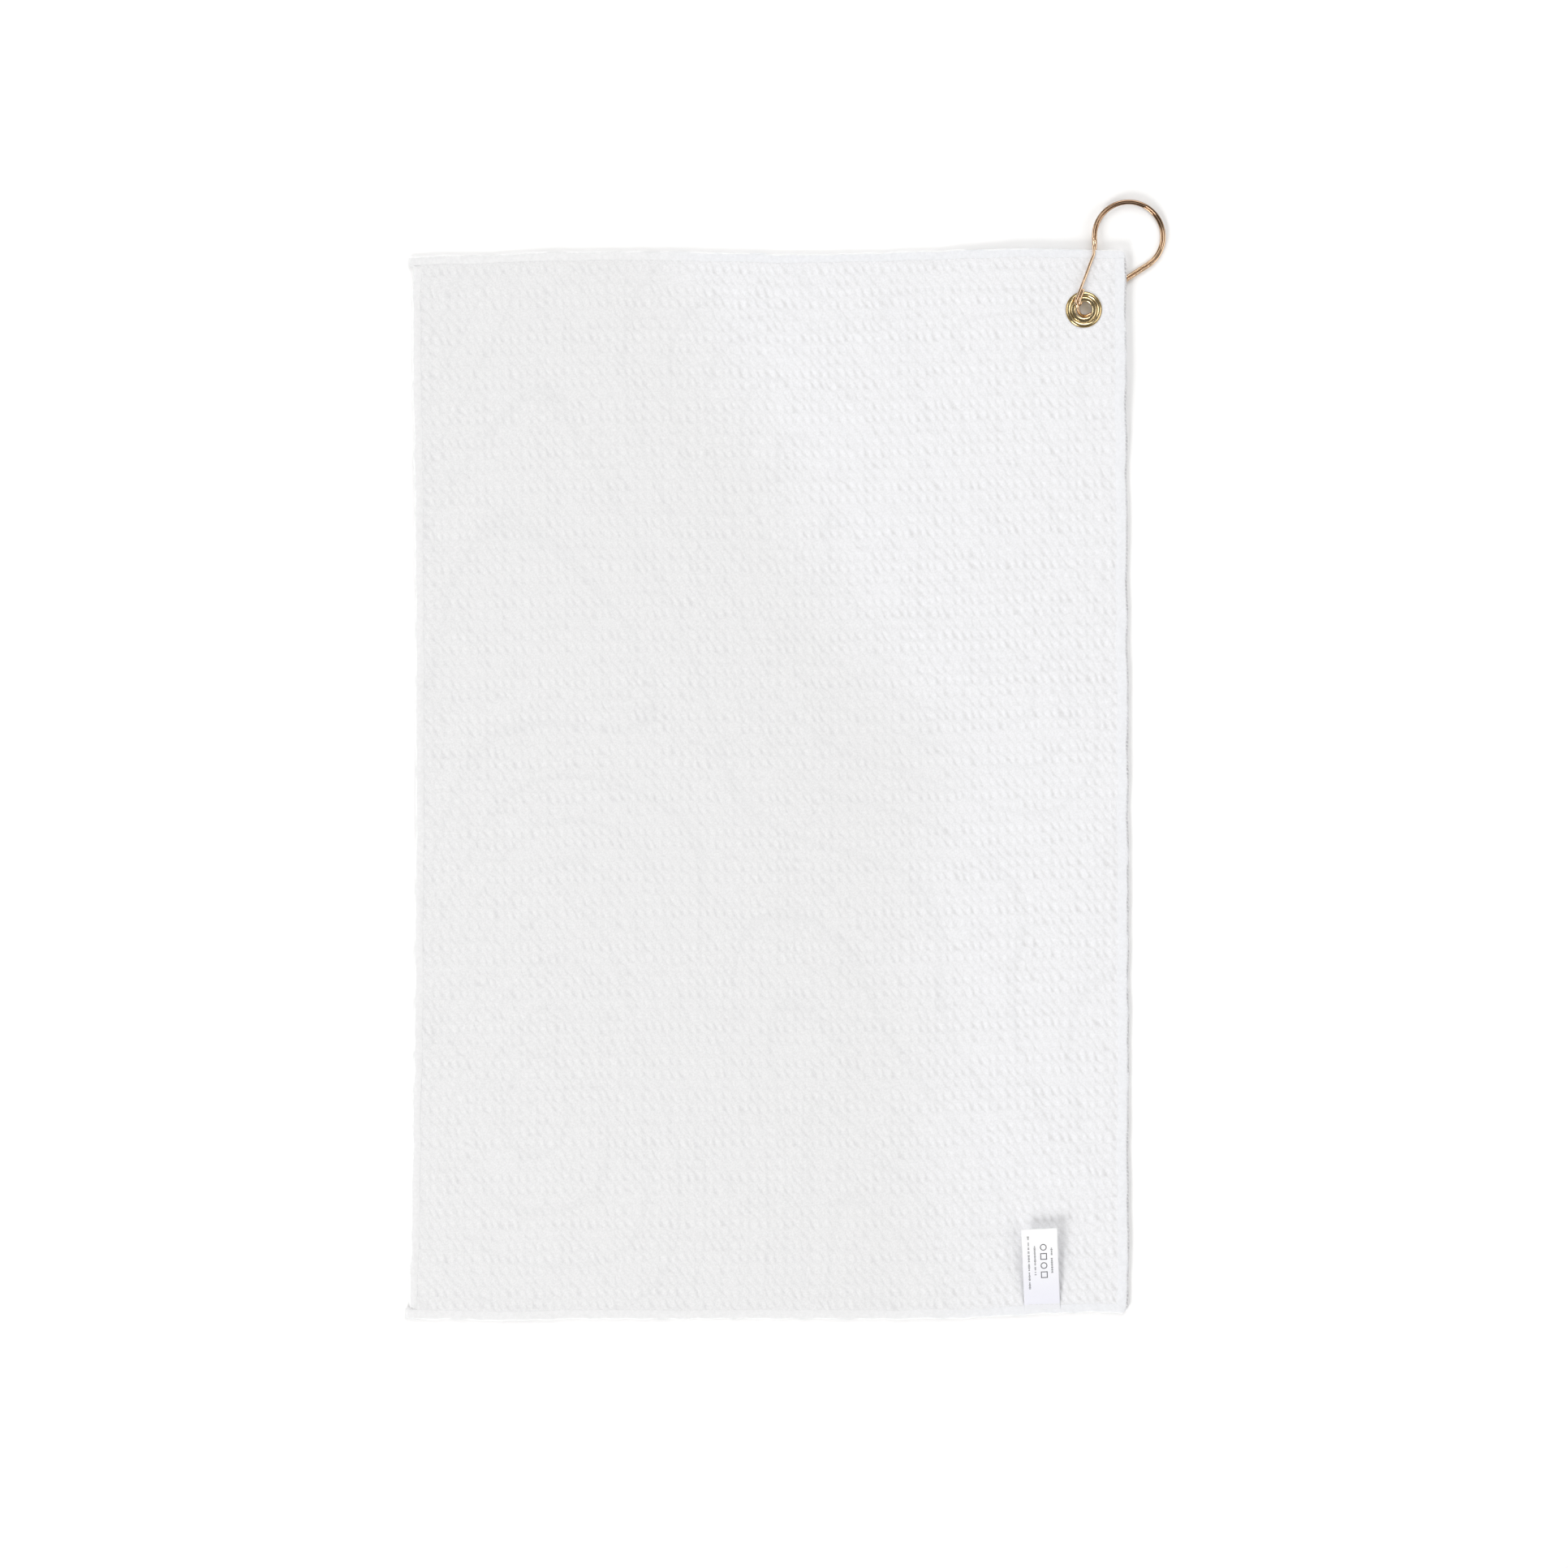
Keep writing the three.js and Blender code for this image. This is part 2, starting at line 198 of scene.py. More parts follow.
TOP_CORNER_RADIUS = 4 * MM
BOTTOM_CORNER_RADIUS = 5 * MM

# How far each edge stands outside a straight one, in millimetres. For the sides: at the middle, and
# what grows with the share of the half length and with its square.
LEFT_BOW = (-1.0, -0.67, 3.28)
LEFT_CORNER_PINCH = 0.9
RIGHT_BOW = (1.65, -0.9, -0.75)
TOP_MIDDLE = -0.5
TOP_TILT = 1.1
TOP_WAVE = 1.1
TOP_WAVE_LENGTH = 232 * MM
TOP_CREST_X = -91 * MM
BOTTOM_MIDDLE = 0.35
BOTTOM_SWELL = 0.7
BOTTOM_SWELL_X = -150 * MM
BOTTOM_SWELL_WIDTH = 35 * MM
BOTTOM_RISE = 3.6
BOTTOM_RISE_X = (88 * MM, 178 * MM)

# The cloth's unevenness: heights or shifts, and their wavelengths.
RUMPLE_BROAD = 0.30 * MM
RUMPLE_BROAD_WAVE = 150 * MM
RUMPLE_NARROW = 0.12 * MM
RUMPLE_NARROW_WAVE = 42 * MM
RUMPLE_FROM_HOOK = (60 * MM, 120 * MM)
RIPPLE = 0.18 * MM
RIPPLE_WAVE = 38 * MM


def side_bow(y, bow):
    v = y / (LENGTH / 2)
    return bow[0] + bow[1] * v + bow[2] * v * v


def left_bulge(y):
    """How far the left edge lies outside the straight one."""
    pinch = LEFT_CORNER_PINCH * smoothstep(y / (LENGTH / 2), 0.86, 1.0)
    return (side_bow(y, LEFT_BOW) - pinch) * MM


def right_bulge(y):
    return side_bow(y, RIGHT_BOW) * MM


def top_bulge(x):
    wave = np.cos(TAU * (x - TOP_CREST_X) / TOP_WAVE_LENGTH)
    return (TOP_MIDDLE + TOP_TILT * x / (WIDTH / 2) + TOP_WAVE * wave) * MM


def bottom_bulge(x):
    left_swell = BOTTOM_SWELL * np.exp(-((x - BOTTOM_SWELL_X) / BOTTOM_SWELL_WIDTH) ** 2)
    return (BOTTOM_MIDDLE + left_swell - BOTTOM_RISE * smoothstep(x, *BOTTOM_RISE_X)) * MM


def from_grommet(x, y):
    return np.hypot(x - GROMMET_X, y - GROMMET_Y)


def lift(x, y):
    """Height of the cloth's underside over the surface, round the grommet."""
    return CORNER_LIFT * (1 - smoothstep(from_grommet(x, y), LIFT_FLAT_RADIUS, LIFT_END_RADIUS))


def round_corner(x, y, side_y, radius):
    """Eases the points of one square corner on the right onto a rounded one."""
    a = (x - (WIDTH / 2 - radius)) / radius
    b = (y * side_y - (LENGTH / 2 - radius)) / radius
    inside = (a > 0) & (b > 0)
    shorter_a = a * np.sqrt(1 - np.clip(b, 0, 1) ** 2 / 2)
    shorter_b = b * np.sqrt(1 - np.clip(a, 0, 1) ** 2 / 2)
    rounded_x = WIDTH / 2 - radius + radius * shorter_a
    rounded_y = side_y * (LENGTH / 2 - radius + radius * shorter_b)
    return np.where(inside, rounded_x, x), np.where(inside, rounded_y, y)


def rumple(x, y):
    """Soft unevenness of the cloth, none near the hook."""
    away = smoothstep(from_grommet(x, y), *RUMPLE_FROM_HOOK)
    broad = RUMPLE_BROAD * (1 + 0.7 * waves(x, y, RUMPLE_BROAD_WAVE, seed=11))
    narrow = RUMPLE_NARROW * waves(x, y, RUMPLE_NARROW_WAVE, seed=12)
    return np.maximum(broad + narrow, 0) * away


def lay(points):
    """Takes points from the flat, straight-sided towel to where the cloth really lies."""
    x, y, z = points.T
    x, y = round_corner(x, y, 1, TOP_CORNER_RADIUS)
    x, y = round_corner(x, y, -1, BOTTOM_CORNER_RADIUS)
    u = (x - LEFT) / WIDTH
    v = (y - BOTTOM) / LENGTH
    ripple_x = RIPPLE * waves(x, y, RIPPLE_WAVE, seed=21)
    ripple_y = RIPPLE * waves(x, y, RIPPLE_WAVE, seed=22)
    laid_x = x - left_bulge(y) * (1 - u) + right_bulge(y) * u + ripple_x
    laid_y = y + top_bulge(x) * v - bottom_bulge(x) * (1 - v) + ripple_y
    return np.stack([laid_x, laid_y, z + lift(laid_x, laid_y) + rumple(laid_x, laid_y)], 1)


# ---------- mesh helpers

def make_piece(name, points, faces, body, materials, attributes=None):
    """A mesh piece from points and face arrays, each of one corner count."""
    mesh = bpy.data.meshes.new(name)
    corners = np.concatenate([np.asarray(f, np.int32).ravel() for f in faces])
    sizes = np.concatenate([np.full(len(f), f.shape[1], np.int32) for f in faces])
    mesh.vertices.add(len(points))
    mesh.vertices.foreach_set("co", np.asarray(points, np.float32).ravel())
    mesh.loops.add(len(corners))
    mesh.loops.foreach_set("vertex_index", corners)
    mesh.polygons.add(len(sizes))
    mesh.polygons.foreach_set("loop_start", (np.cumsum(sizes) - sizes).astype(np.int32))
    mesh.polygons.foreach_set("loop_total", sizes)
    mesh.polygons.foreach_set("use_smooth", np.full(len(sizes), True))
    mesh.update(calc_edges=True)
    mesh.validate()
    for key, values in (attributes or {}).items():
        layer = mesh.attributes.new(key, "FLOAT", "POINT")
        layer.data.foreach_set("value", np.asarray(values, np.float32))
    for material in materials:
        mesh.materials.append(material)
    piece = bpy.data.objects.new(name, mesh)
    bpy.context.collection.objects.link(piece)
    if body:
        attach(piece, body)
    return piece


def grid_faces(rows, columns, wrap_rows=False, wrap_columns=False):
    """Quads of a grid of points stored row by row, with the normal along rows x columns."""
    i = np.arange(rows if wrap_rows else rows - 1)
    j = np.arange(columns if wrap_columns else columns - 1)
    i, j = np.meshgrid(i, j, indexing="ij")
    i, j = i.ravel(), j.ravel()
    i1, j1 = (i + 1) % rows, (j + 1) % columns
    return np.stack([i * columns + j, i1 * columns + j, i1 * columns + j1, i * columns + j1], 1)


def tube(path, radii, sides):
    """Points, quads and end faces of a round tube along a path."""
    path = np.asarray(path, float)
    tangent = np.gradient(path, axis=0)
    tangent /= np.linalg.norm(tangent, axis=1)[:, None]
    side = np.cross(tangent[0], [0.0, 0.0, 1.0])
    if np.linalg.norm(side) < 1e-6:
        side = np.array([1.0, 0.0, 0.0])
    normals = []
    for t in tangent:
        side = side - t * (side @ t)
        side /= np.linalg.norm(side)
        normals.append(side)
    normals = np.array(normals)
    binormals = np.cross(tangent, normals)
    angle = (np.arange(sides) * TAU / sides)[None, :, None]
    ring = np.cos(angle) * normals[:, None] + np.sin(angle) * binormals[:, None]
    points = path[:, None] + ring * np.broadcast_to(radii, len(path))[:, None, None]
    quads = grid_faces(len(path), sides, wrap_columns=True)[:, ::-1]
    first = np.arange(sides)
    caps = np.stack([first[::-1], first + (len(path) - 1) * sides])
    return points.reshape(-1, 3), quads, caps


def joined(parts):
    """Many tubes as one list of points and faces."""
    points, quads, caps, start = [], [], [], 0
    for p, q, c in parts:
        points.append(p)
        quads.append(q + start)
        caps.append(c + start)
        start += len(p)
    return np.vstack(points), [np.vstack(quads), np.vstack(caps)]


# ---------- material helpers

def new_material(name):
    material = bpy.data.materials.new(name)
    material.use_nodes = True
    tree = material.node_tree
    shader = next(n for n in tree.nodes if n.type == "BSDF_PRINCIPLED")
    return material, tree, shader


def feed(tree, socket, value):
    if isinstance(value, bpy.types.NodeSocket):
        tree.links.new(value, socket)
    else:
        socket.default_value = value


def node(tree, kind, inputs=None, output=0, **settings):
    """Adds a shader node, sets or links its inputs, and returns one of its outputs."""
    made = tree.nodes.new("ShaderNode" + kind)
    for key, value in settings.items():
        setattr(made, key, value)
    for key, value in (inputs or {}).items():
        feed(tree, made.inputs[key], value)
    return made.outputs[output]


def math_node(tree, operation, *values, clamp=False):
    return node(tree, "Math", dict(enumerate(values)), operation=operation, use_clamp=clamp)


def times(tree, first, second):
    return math_node(tree, "MULTIPLY", first, second)


def apart(tree, first, second):
    return math_node(tree, "ABSOLUTE", math_node(tree, "SUBTRACT", first, second))


def vector_math(tree, operation, *values, output=0):
    return node(tree, "VectorMath", dict(enumerate(values)), output, operation=operation)


def split_axes(tree, vector):
    """The x, y and z sockets of a vector."""
    return node(tree, "SeparateXYZ", {0: vector}).node.outputs


def blend_colours(tree, share, first, second, kind="MIX"):
    inputs = {0: share, 6: first, 7: second}
    return node(tree, "Mix", inputs, output=2, data_type="RGBA", blend_type=kind)


def remap(tree, value, low, high, to_low=0.0, to_high=1.0):
    inputs = {0: value, 1: low, 2: high, 3: to_low, 4: to_high}
    return node(tree, "MapRange", inputs, interpolation_type="SMOOTHSTEP")


def noise(tree, coordinates, scale, detail=2.0, roughness=0.5):
    inputs = {"Vector": coordinates, "Scale": scale, "Detail": detail, "Roughness": roughness}
    return node(tree, "TexNoise", inputs)


def bump(tree, height, distance, strength):
    return node(tree, "Bump", {"Height": height, "Distance": distance, "Strength": strength})


def object_place(tree):
    return node(tree, "TexCoord", output=3)


def attribute(tree, name):
    return node(tree, "Attribute", output=2, attribute_name=name)


def set_shader(tree, shader, **values):
    for key, value in values.items():
        feed(tree, shader.inputs[key.replace("_", " ")], value)


# ---------- cloth materials

NEUTRAL_WHITE = (0.806, 0.808, 0.814, 1)
COOL_WHITE = (0.862, 0.867, 0.889, 1)
COOL_HEM = (0.812, 0.822, 0.848, 1)
HOLLOW_SHADE = (0.70, 0.70, 0.71, 1)
PRINT_GREY = (0.60, 0.61, 0.62, 1)
# Painted highlight along the folded outer edge of the top, bottom and left hems.
PAINTED_FOLD_HIGHLIGHT = (0.93, 0.93, 0.935, 1)
# The right hem's raw edge, darkened further as painted shade between the overlock loops.
RAW_EDGE_AND_SHADE = (0.64, 0.64, 0.65, 1)
SEWING_WHITE = (0.77, 0.77, 0.785, 1)
OVERLOCK_WHITE = (0.80, 0.805, 0.82, 1)
THREAD_SHADE = 0.86

# How finely a hem's ribs repeat along it and across it.
RIBS_ALONG = 300
RIBS_ACROSS = 1600

# The relief print's hills: middle (x, y) in metres, turn in degrees, stretch along and across.
PRINT_HILLS = [
    ((-0.125, -0.170), 72, (1.5, 0.9)),
    ((0.050, 0.120), -56, (2.0, 0.9)),
    ((-0.270, 0.300), -78, (1.9, 1.0)),
    ((0.270, -0.230), -62, (1.6, 1.0)),
    ((0.140, 0.400), 8, (1.7, 0.9)),
]
PRINT_MERGE = 0.09
PRINT_WARP = 0.16
PRINT_WARP_SCALE = 4.5

# The height between two lines, a line's half width as a share of it, and how much of that is solid.
PRINT_SPACING = 0.0176
PRINT_WIDTH = 0.085
PRINT_SOLID = 0.45

# The change to the cooler tone: a line that leans left above the middle, and where it fades in.
TINT_LEAN = 0.5
TINT_WANDER = 0.10
TINT_FADE = (0.10, 0.19)

HOLLOW_SHARE = 0.7
BACK_PRINT = 0.10
FRONT_PRINT = 0.55


def contour_lines(tree, place):
    """Thin lines at even heights of a few soft hills, like a generic relief print."""
    inputs = {"Vector": place, "Scale": PRINT_WARP_SCALE, "Detail": 0.0}
    drift = node(tree, "TexNoise", inputs, output=1)
    drift = vector_math(tree, "SUBTRACT", drift, (0.5, 0.5, 0.5))
    drift = vector_math(tree, "MULTIPLY", drift, (PRINT_WARP, PRINT_WARP, 0))
    warped = vector_math(tree, "ADD", place, drift)
    height = None
    for (x, y), turn, (along, across) in PRINT_HILLS:
        inputs = {"Vector": warped, "Location": (x, y, 0), "Rotation": (0, 0, math.radians(turn)),
                  "Scale": (along, across, 1.0)}
        local = node(tree, "Mapping", inputs, vector_type="TEXTURE")
        away = vector_math(tree, "LENGTH", local, output=1)
        height = away if height is None else math_node(tree, "SMOOTH_MIN", height, away, PRINT_MERGE)
    steps = math_node(tree, "DIVIDE", height, PRINT_SPACING)
    ramp = math_node(tree, "PINGPONG", steps, 0.5)
    return remap(tree, ramp, PRINT_WIDTH, PRINT_WIDTH * PRINT_SOLID)


def cloth_tint(tree, place, right_colour):
    """Neutral white on the left, a cooler and lighter white on the right."""
    x, y, _ = split_axes(tree, place)
    above = math_node(tree, "MAXIMUM", y, 0.0)
    slanted = math_node(tree, "MULTIPLY_ADD", above, TINT_LEAN, x)
    wander = math_node(tree, "MULTIPLY_ADD", noise(tree, place, scale=6.0), TINT_WANDER, slanted)
    return blend_colours(tree, remap(tree, wander, *TINT_FADE), NEUTRAL_WHITE, right_colour)


def yarn_bump(tree, place):
    """Fine loops of yarn over the weave."""
    fuzz = noise(tree, place, scale=2200, detail=3.0, roughness=0.65)
    tufts = noise(tree, place, scale=800)
    return bump(tree, math_node(tree, "ADD", fuzz, tufts), distance=0.22 * MM, strength=0.9)


def waffle_material(name, print_strength):
    material, tree, shader = new_material(name)
    place = object_place(tree)
    tint = cloth_tint(tree, place, COOL_WHITE)
    lines_share = times(tree, contour_lines(tree, place), print_strength)
    printed = blend_colours(tree, lines_share, tint, PRINT_GREY)
    # Painted shade: the weave's grooves are darkened by their depth.
    hollow = times(tree, attribute(tree, "hollow"), HOLLOW_SHARE)
    shaded = blend_colours(tree, hollow, printed, HOLLOW_SHADE)
    grain = noise(tree, place, scale=1000, detail=3.0, roughness=0.75)
    shade = remap(tree, grain, 0.25, 0.75, 0.92, 1.05)
    colour = blend_colours(tree, 1.0, shaded, shade, "MULTIPLY")
    matt = remap(tree, grain, 0.2, 0.8, 0.88, 1.0)
    set_shader(tree, shader, Base_Color=colour, Normal=yarn_bump(tree, place), Roughness=matt)
    set_shader(tree, shader, Sheen_Weight=0.25, Sheen_Roughness=0.6, Specular_IOR_Level=0.15)
    return material


def hem_material(name, rib_x, rib_y, fold_colour):
    """Closely knitted band with fine ribs, and a painted colour in broken stretches where it turns over
    the edge: a painted highlight on the folded hems, and the raw edge with painted shade on the right hem.
    """
    material, tree, shader = new_material(name)
    place = object_place(tree)
    tint = cloth_tint(tree, place, COOL_HEM)
    # fold_colour in broken stretches along the outer edge: a painted highlight, and on the right hem the
    # raw edge with painted shade.
    broken = remap(tree, noise(tree, place, scale=60), 0.36, 0.5)
    share = times(tree, attribute(tree, "fold"), broken)
    folded = blend_colours(tree, share, tint, fold_colour)
    grain = noise(tree, place, scale=500, detail=3.0, roughness=0.6)
    shade = remap(tree, grain, 0.25, 0.75, 0.925, 0.995)
    colour = blend_colours(tree, 1.0, folded, shade, "MULTIPLY")
    stretched = node(tree, "Mapping", {"Vector": place, "Scale": (rib_x, rib_y, 400)})
    ribs = noise(tree, stretched, scale=1.0)
    set_shader(tree, shader, Base_Color=colour, Normal=bump(tree, ribs, 0.1 * MM, 0.6))
    set_shader(tree, shader, Roughness=0.9, Sheen_Weight=0.2, Sheen_Roughness=0.5, Specular_IOR_Level=0.2)
    return material


def thread_material(name, colour):
    material, tree, shader = new_material(name)
    place = object_place(tree)
    twist = noise(tree, place, scale=1500)
    dark = tuple(channel * THREAD_SHADE for channel in colour[:3]) + (1,)
    twisted = blend_colours(tree, remap(tree, twist, 0.3, 0.7), dark, colour)
    set_shader(tree, shader, Base_Color=twisted, Normal=bump(tree, twist, 0.06 * MM, 0.7))
    set_shader(tree, shader, Roughness=0.55, Sheen_Weight=0.15, Specular_IOR_Level=0.35)
    return material


WAFFLE_BACK = waffle_material("waffle_back", BACK_PRINT)
WAFFLE_FRONT = waffle_material("waffle_printed_front", FRONT_PRINT)
HEM_ALONG_X = hem_material("hem_along_x", RIBS_ALONG, RIBS_ACROSS, PAINTED_FOLD_HIGHLIGHT)
HEM_ALONG_Y = hem_material("hem_along_y", RIBS_ACROSS, RIBS_ALONG, PAINTED_FOLD_HIGHLIGHT)
HEM_RIGHT = hem_material("hem_right", RIBS_ACROSS, RIBS_ALONG, RAW_EDGE_AND_SHADE)
SEWING_THREAD = thread_material("sewing_thread", SEWING_WHITE)
OVERLOCK_THREAD = thread_material("overlock_thread", OVERLOCK_WHITE)


# ---------- the woven panel

PANEL_INSET = 1.7 * MM
WEAVE_WANDER = 0.08
DOME_SHARE = 0.35
YARN_LUMP = 0.045 * MM
UNDER_RELIEF = 0.18 * MM
TOP_SWELL = 0.1 * MM
UNDER_SWELL = 0.05 * MM
FULL_FROM_EDGE = (2.8 * MM, 6.0 * MM)
PRESSED_MARGIN = 5 * MM
CUT_MARGIN = 1.4 * MM

# A cell's two grooves, in millimetres: start, end, widths and depths at both. The upright one widens
# downwards, and the slanting one runs on from its foot to the lower right.
UPRIGHT_GROOVE = ((-0.5, 0.2), (1.3, 3.9), (0.9, 1.7), (0.45, 1.0))
SLANTING_GROOVE = ((1.3, 3.9), (4.2, 6.5), (1.2, 0.7), (0.75, 0.3))

# How far cells differ: the least of a groove's force and width, and what chance adds.
GROOVE_FORCE = (0.4, 0.85)
GROOVE_WIDTH = (0.75, 0.5)


def from_edge(x, y):
    """Distance in from the nearest straight edge of the flat towel."""
    return np.minimum(np.minimum(x - LEFT, RIGHT - x), np.minimum(y - BOTTOM, TOP - y))


def cell_chance(column, row, kind):
    """A repeatable number from 0 to 1 for each cell of the weave."""
    mixed = np.sin(column * 12.9898 + row * 78.233 + kind * 37.719) * 43758.5453
    return mixed - np.floor(mixed)


def stroke(x, y, groove, wide):
    """Depth of one groove of a cell, whose widths are scaled by `wide`."""
    start, end, widths, depths = groove
    dx, dy = end[0] - start[0], end[1] - start[1]
    along = np.clip(((x - start[0]) * dx + (y - start[1]) * dy) / (dx * dx + dy * dy), 0, 1)
    off = np.hypot(x - start[0] - along * dx, y - start[1] - along * dy)
    width = mix(widths[0] * wide, widths[1] * wide, along)
    return mix(depths[0], depths[1], along) * (1 - smoothstep(off / width, 0, 1))


def waffle(x, y):
    """Height of the waffle weave, near 0 in the grooves and 1 on the pillows between them."""
    column = (x - LEFT) / CELL_X + WEAVE_WANDER * waves(x, y, 13 * MM, seed=31)
    row = (TOP - y) / CELL_Y + WEAVE_WANDER * waves(x, y, 15 * MM, seed=32)
    first_column, first_row = np.floor(column), np.floor(row)
    depth = np.zeros(x.shape)
    for i in (-1, 0, 1):
        for j in (-1, 0, 1):
            own_column, own_row = first_column + i, first_row + j
            u = (column - own_column) * CELL_X / MM
            v = (row - own_row) * CELL_Y / MM
            force = GROOVE_FORCE[0] + GROOVE_FORCE[1] * cell_chance(own_column, own_row, 1)
            wide = GROOVE_WIDTH[0] + GROOVE_WIDTH[1] * cell_chance(own_column, own_row, 2)
            deepest = np.maximum(stroke(u, v, UPRIGHT_GROOVE, wide), stroke(u, v, SLANTING_GROOVE, wide))
            depth = np.maximum(depth, force * deepest)
    dome_x = 0.5 + 0.5 * np.cos(TAU * (column - 0.3 * row - 0.45))
    dome_y = 0.5 + 0.5 * np.cos(TAU * (row - 0.4))
    return 1 - depth - DOME_SHARE * (1 - dome_x * dome_y)


def yarn_lumps(x, y):
    """Unevenness of the yarn loops, of about unit height."""
    fine = waves(x, y, 2.3 * MM, seed=33, count=24)
    broad = waves(x, y, 4.5 * MM, seed=34, count=16)
    return 0.6 * fine + 0.5 * broad


def panel_heights(x, y):
    """Upper and lower face of the panel over its base, and how deep each upper point lies."""
    inside = from_edge(x, y)
    loose = smoothstep(from_grommet(x, y), GROMMET_RADIUS, GROMMET_RADIUS + PRESSED_MARGIN)
    hollow = 1 - waffle(x, y)
    body = smoothstep(inside, *FULL_FROM_EDGE)
    full = PANEL_THICKNESS + TOP_SWELL - WAFFLE_DEPTH * hollow * loose + YARN_LUMP * yarn_lumps(x, y)
    under = UNDER_SWELL + UNDER_RELIEF * hollow * loose
    thin = (HEM_THICKNESS - EDGE_THICKNESS) / 2
    upper = mix(thin + EDGE_THICKNESS, full, body)
    lower = mix(thin, under, body)
    return upper, lower, hollow * body * loose


def panel_grid(low, high, cell):
    """Even stations from low to high, with CELL_STEPS to about a cell."""
    return np.linspace(low, high, round((high - low) / cell) * CELL_STEPS + 1)


def rim_faces(kept, top_index, bottom_index):
    """Five-cornered faces that close the sheet wherever a kept cell has no neighbour."""
    padded = np.pad(kept, 1)
    faces = []
    for dj, di in ((0, 1), (0, -1), (1, 0), (-1, 0)):
        rows = slice(1 + dj, 1 + dj + kept.shape[0])
        columns = slice(1 + di, 1 + di + kept.shape[1])
        j, i = np.nonzero(kept & ~padded[rows, columns])
        if di:
            side = i + (di > 0)
            ends = ((j, side), (j + 1, side)) if di > 0 else ((j + 1, side), (j, side))
        else:
            side = j + (dj > 0)
            ends = ((side, i + 1), (side, i)) if dj > 0 else ((side, i), (side, i + 1))
        (ja, ia), (jb, ib) = ends
        middle = top_index[ja + jb, ia + ib]
        corners = [bottom_index[ja, ia], bottom_index[jb, ib], top_index[2 * jb, 2 * ib], middle,
                   top_index[2 * ja, 2 * ia]]
        faces.append(np.stack(corners, 1))
    return np.vstack(faces)


def panel_piece():
    xs = panel_grid(LEFT + PANEL_INSET, RIGHT - PANEL_INSET, CELL_X)
    ys = panel_grid(BOTTOM + PANEL_INSET, TOP - PANEL_INSET, CELL_Y)
    x, y = np.meshgrid(xs, ys)
    upper, lower, hollow = panel_heights(x, y)
    top_points = lay(np.stack([x.ravel(), y.ravel(), upper.ravel()], 1))
    coarse = np.s_[::2, ::2]
    coarse_shape = x[coarse].shape
    bottom_points = lay(np.stack([x[coarse].ravel(), y[coarse].ravel(), lower[coarse].ravel()], 1))
    top_index = np.arange(x.size).reshape(x.shape)
    bottom_index = np.arange(len(bottom_points)).reshape(coarse_shape) + x.size

    centre = top_points.reshape(*x.shape, 3)[1::2, 1::2]
    kept = from_grommet(centre[..., 0], centre[..., 1]) > PUNCH_RADIUS + CUT_MARGIN
    fine = np.repeat(np.repeat(kept, 2, 0), 2, 1)
    top_faces = grid_faces(*x.shape)[:, ::-1][fine.ravel()]
    bottom_faces = grid_faces(*coarse_shape)[kept.ravel()] + x.size
    rims = rim_faces(kept, top_index, bottom_index)

    points = np.vstack([top_points, bottom_points])
    hollow = np.concatenate([hollow.ravel(), hollow[coarse].ravel()])
    hole_edge = np.unique(rims)
    offset = points[hole_edge, :2] - [GROMMET_X, GROMMET_Y]
    reach = np.linalg.norm(offset, axis=1)
    near = reach < 2 * PUNCH_RADIUS
    offset[near] *= (PUNCH_RADIUS / reach[near])[:, None]
    points[hole_edge[near], :2] = offset[near] + [GROMMET_X, GROMMET_Y]

    used = np.unique(np.concatenate([top_faces.ravel(), bottom_faces.ravel(), rims.ravel()]))
    renumber = np.zeros(len(points), np.int64)
    renumber[used] = np.arange(len(used))
    faces = [renumber[top_faces], renumber[bottom_faces], renumber[rims]]
    piece = make_piece("towel_cloth", points[used], faces, "towel",
                       [WAFFLE_BACK, WAFFLE_FRONT], attributes={"hollow": hollow[used]})
    # The towel lies on its printed front, so the front's material is on the lower faces.
    front = np.zeros(len(piece.data.polygons), np.int32)
    front[len(top_faces):len(top_faces) + len(bottom_faces)] = 1
    piece.data.polygons.foreach_set("material_index", front)
    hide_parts("towel_panel")
    return piece


# ---------- hems

HEM_ALONG_STEP = 1.0 * MM
HEM_END_ROUND = 1.4 * MM

# Where the bottom, left and right hems start and end, measured along them.
BOTTOM_HEM_END = RIGHT - 0.4 * MM
LEFT_HEM_START = -TOP + TOP_HEM_WIDTH - 1.5 * MM
LEFT_HEM_END = -BOTTOM - BOTTOM_HEM_WIDTH + 1.5 * MM
RIGHT_HEM_START = BOTTOM + 1.8 * MM
RIGHT_HEM_END = TOP - TOP_HEM_WIDTH + 2.5 * MM

# Each side: a point on its edge, the way in, the way along, and its start and end along it.
SIDES = {
    "top": ((0, TOP), (0, -1), (-1, 0), -RIGHT, -EAR_END),
    "bottom": ((0, BOTTOM), (0, 1), (1, 0), EAR_END, BOTTOM_HEM_END),
    "left": ((LEFT, 0), (1, 0), (0, -1), LEFT_HEM_START, LEFT_HEM_END),
    "right": ((RIGHT, 0), (-1, 0), (0, 1), RIGHT_HEM_START, RIGHT_HEM_END),
}
HEM_LIP = 1.1 * MM
HEM_WIDTHS = {name: seam + HEM_LIP for name, seam in SEAM_FROM_EDGE.items()}
HEM_RAISED = {"right": 0.08 * MM}

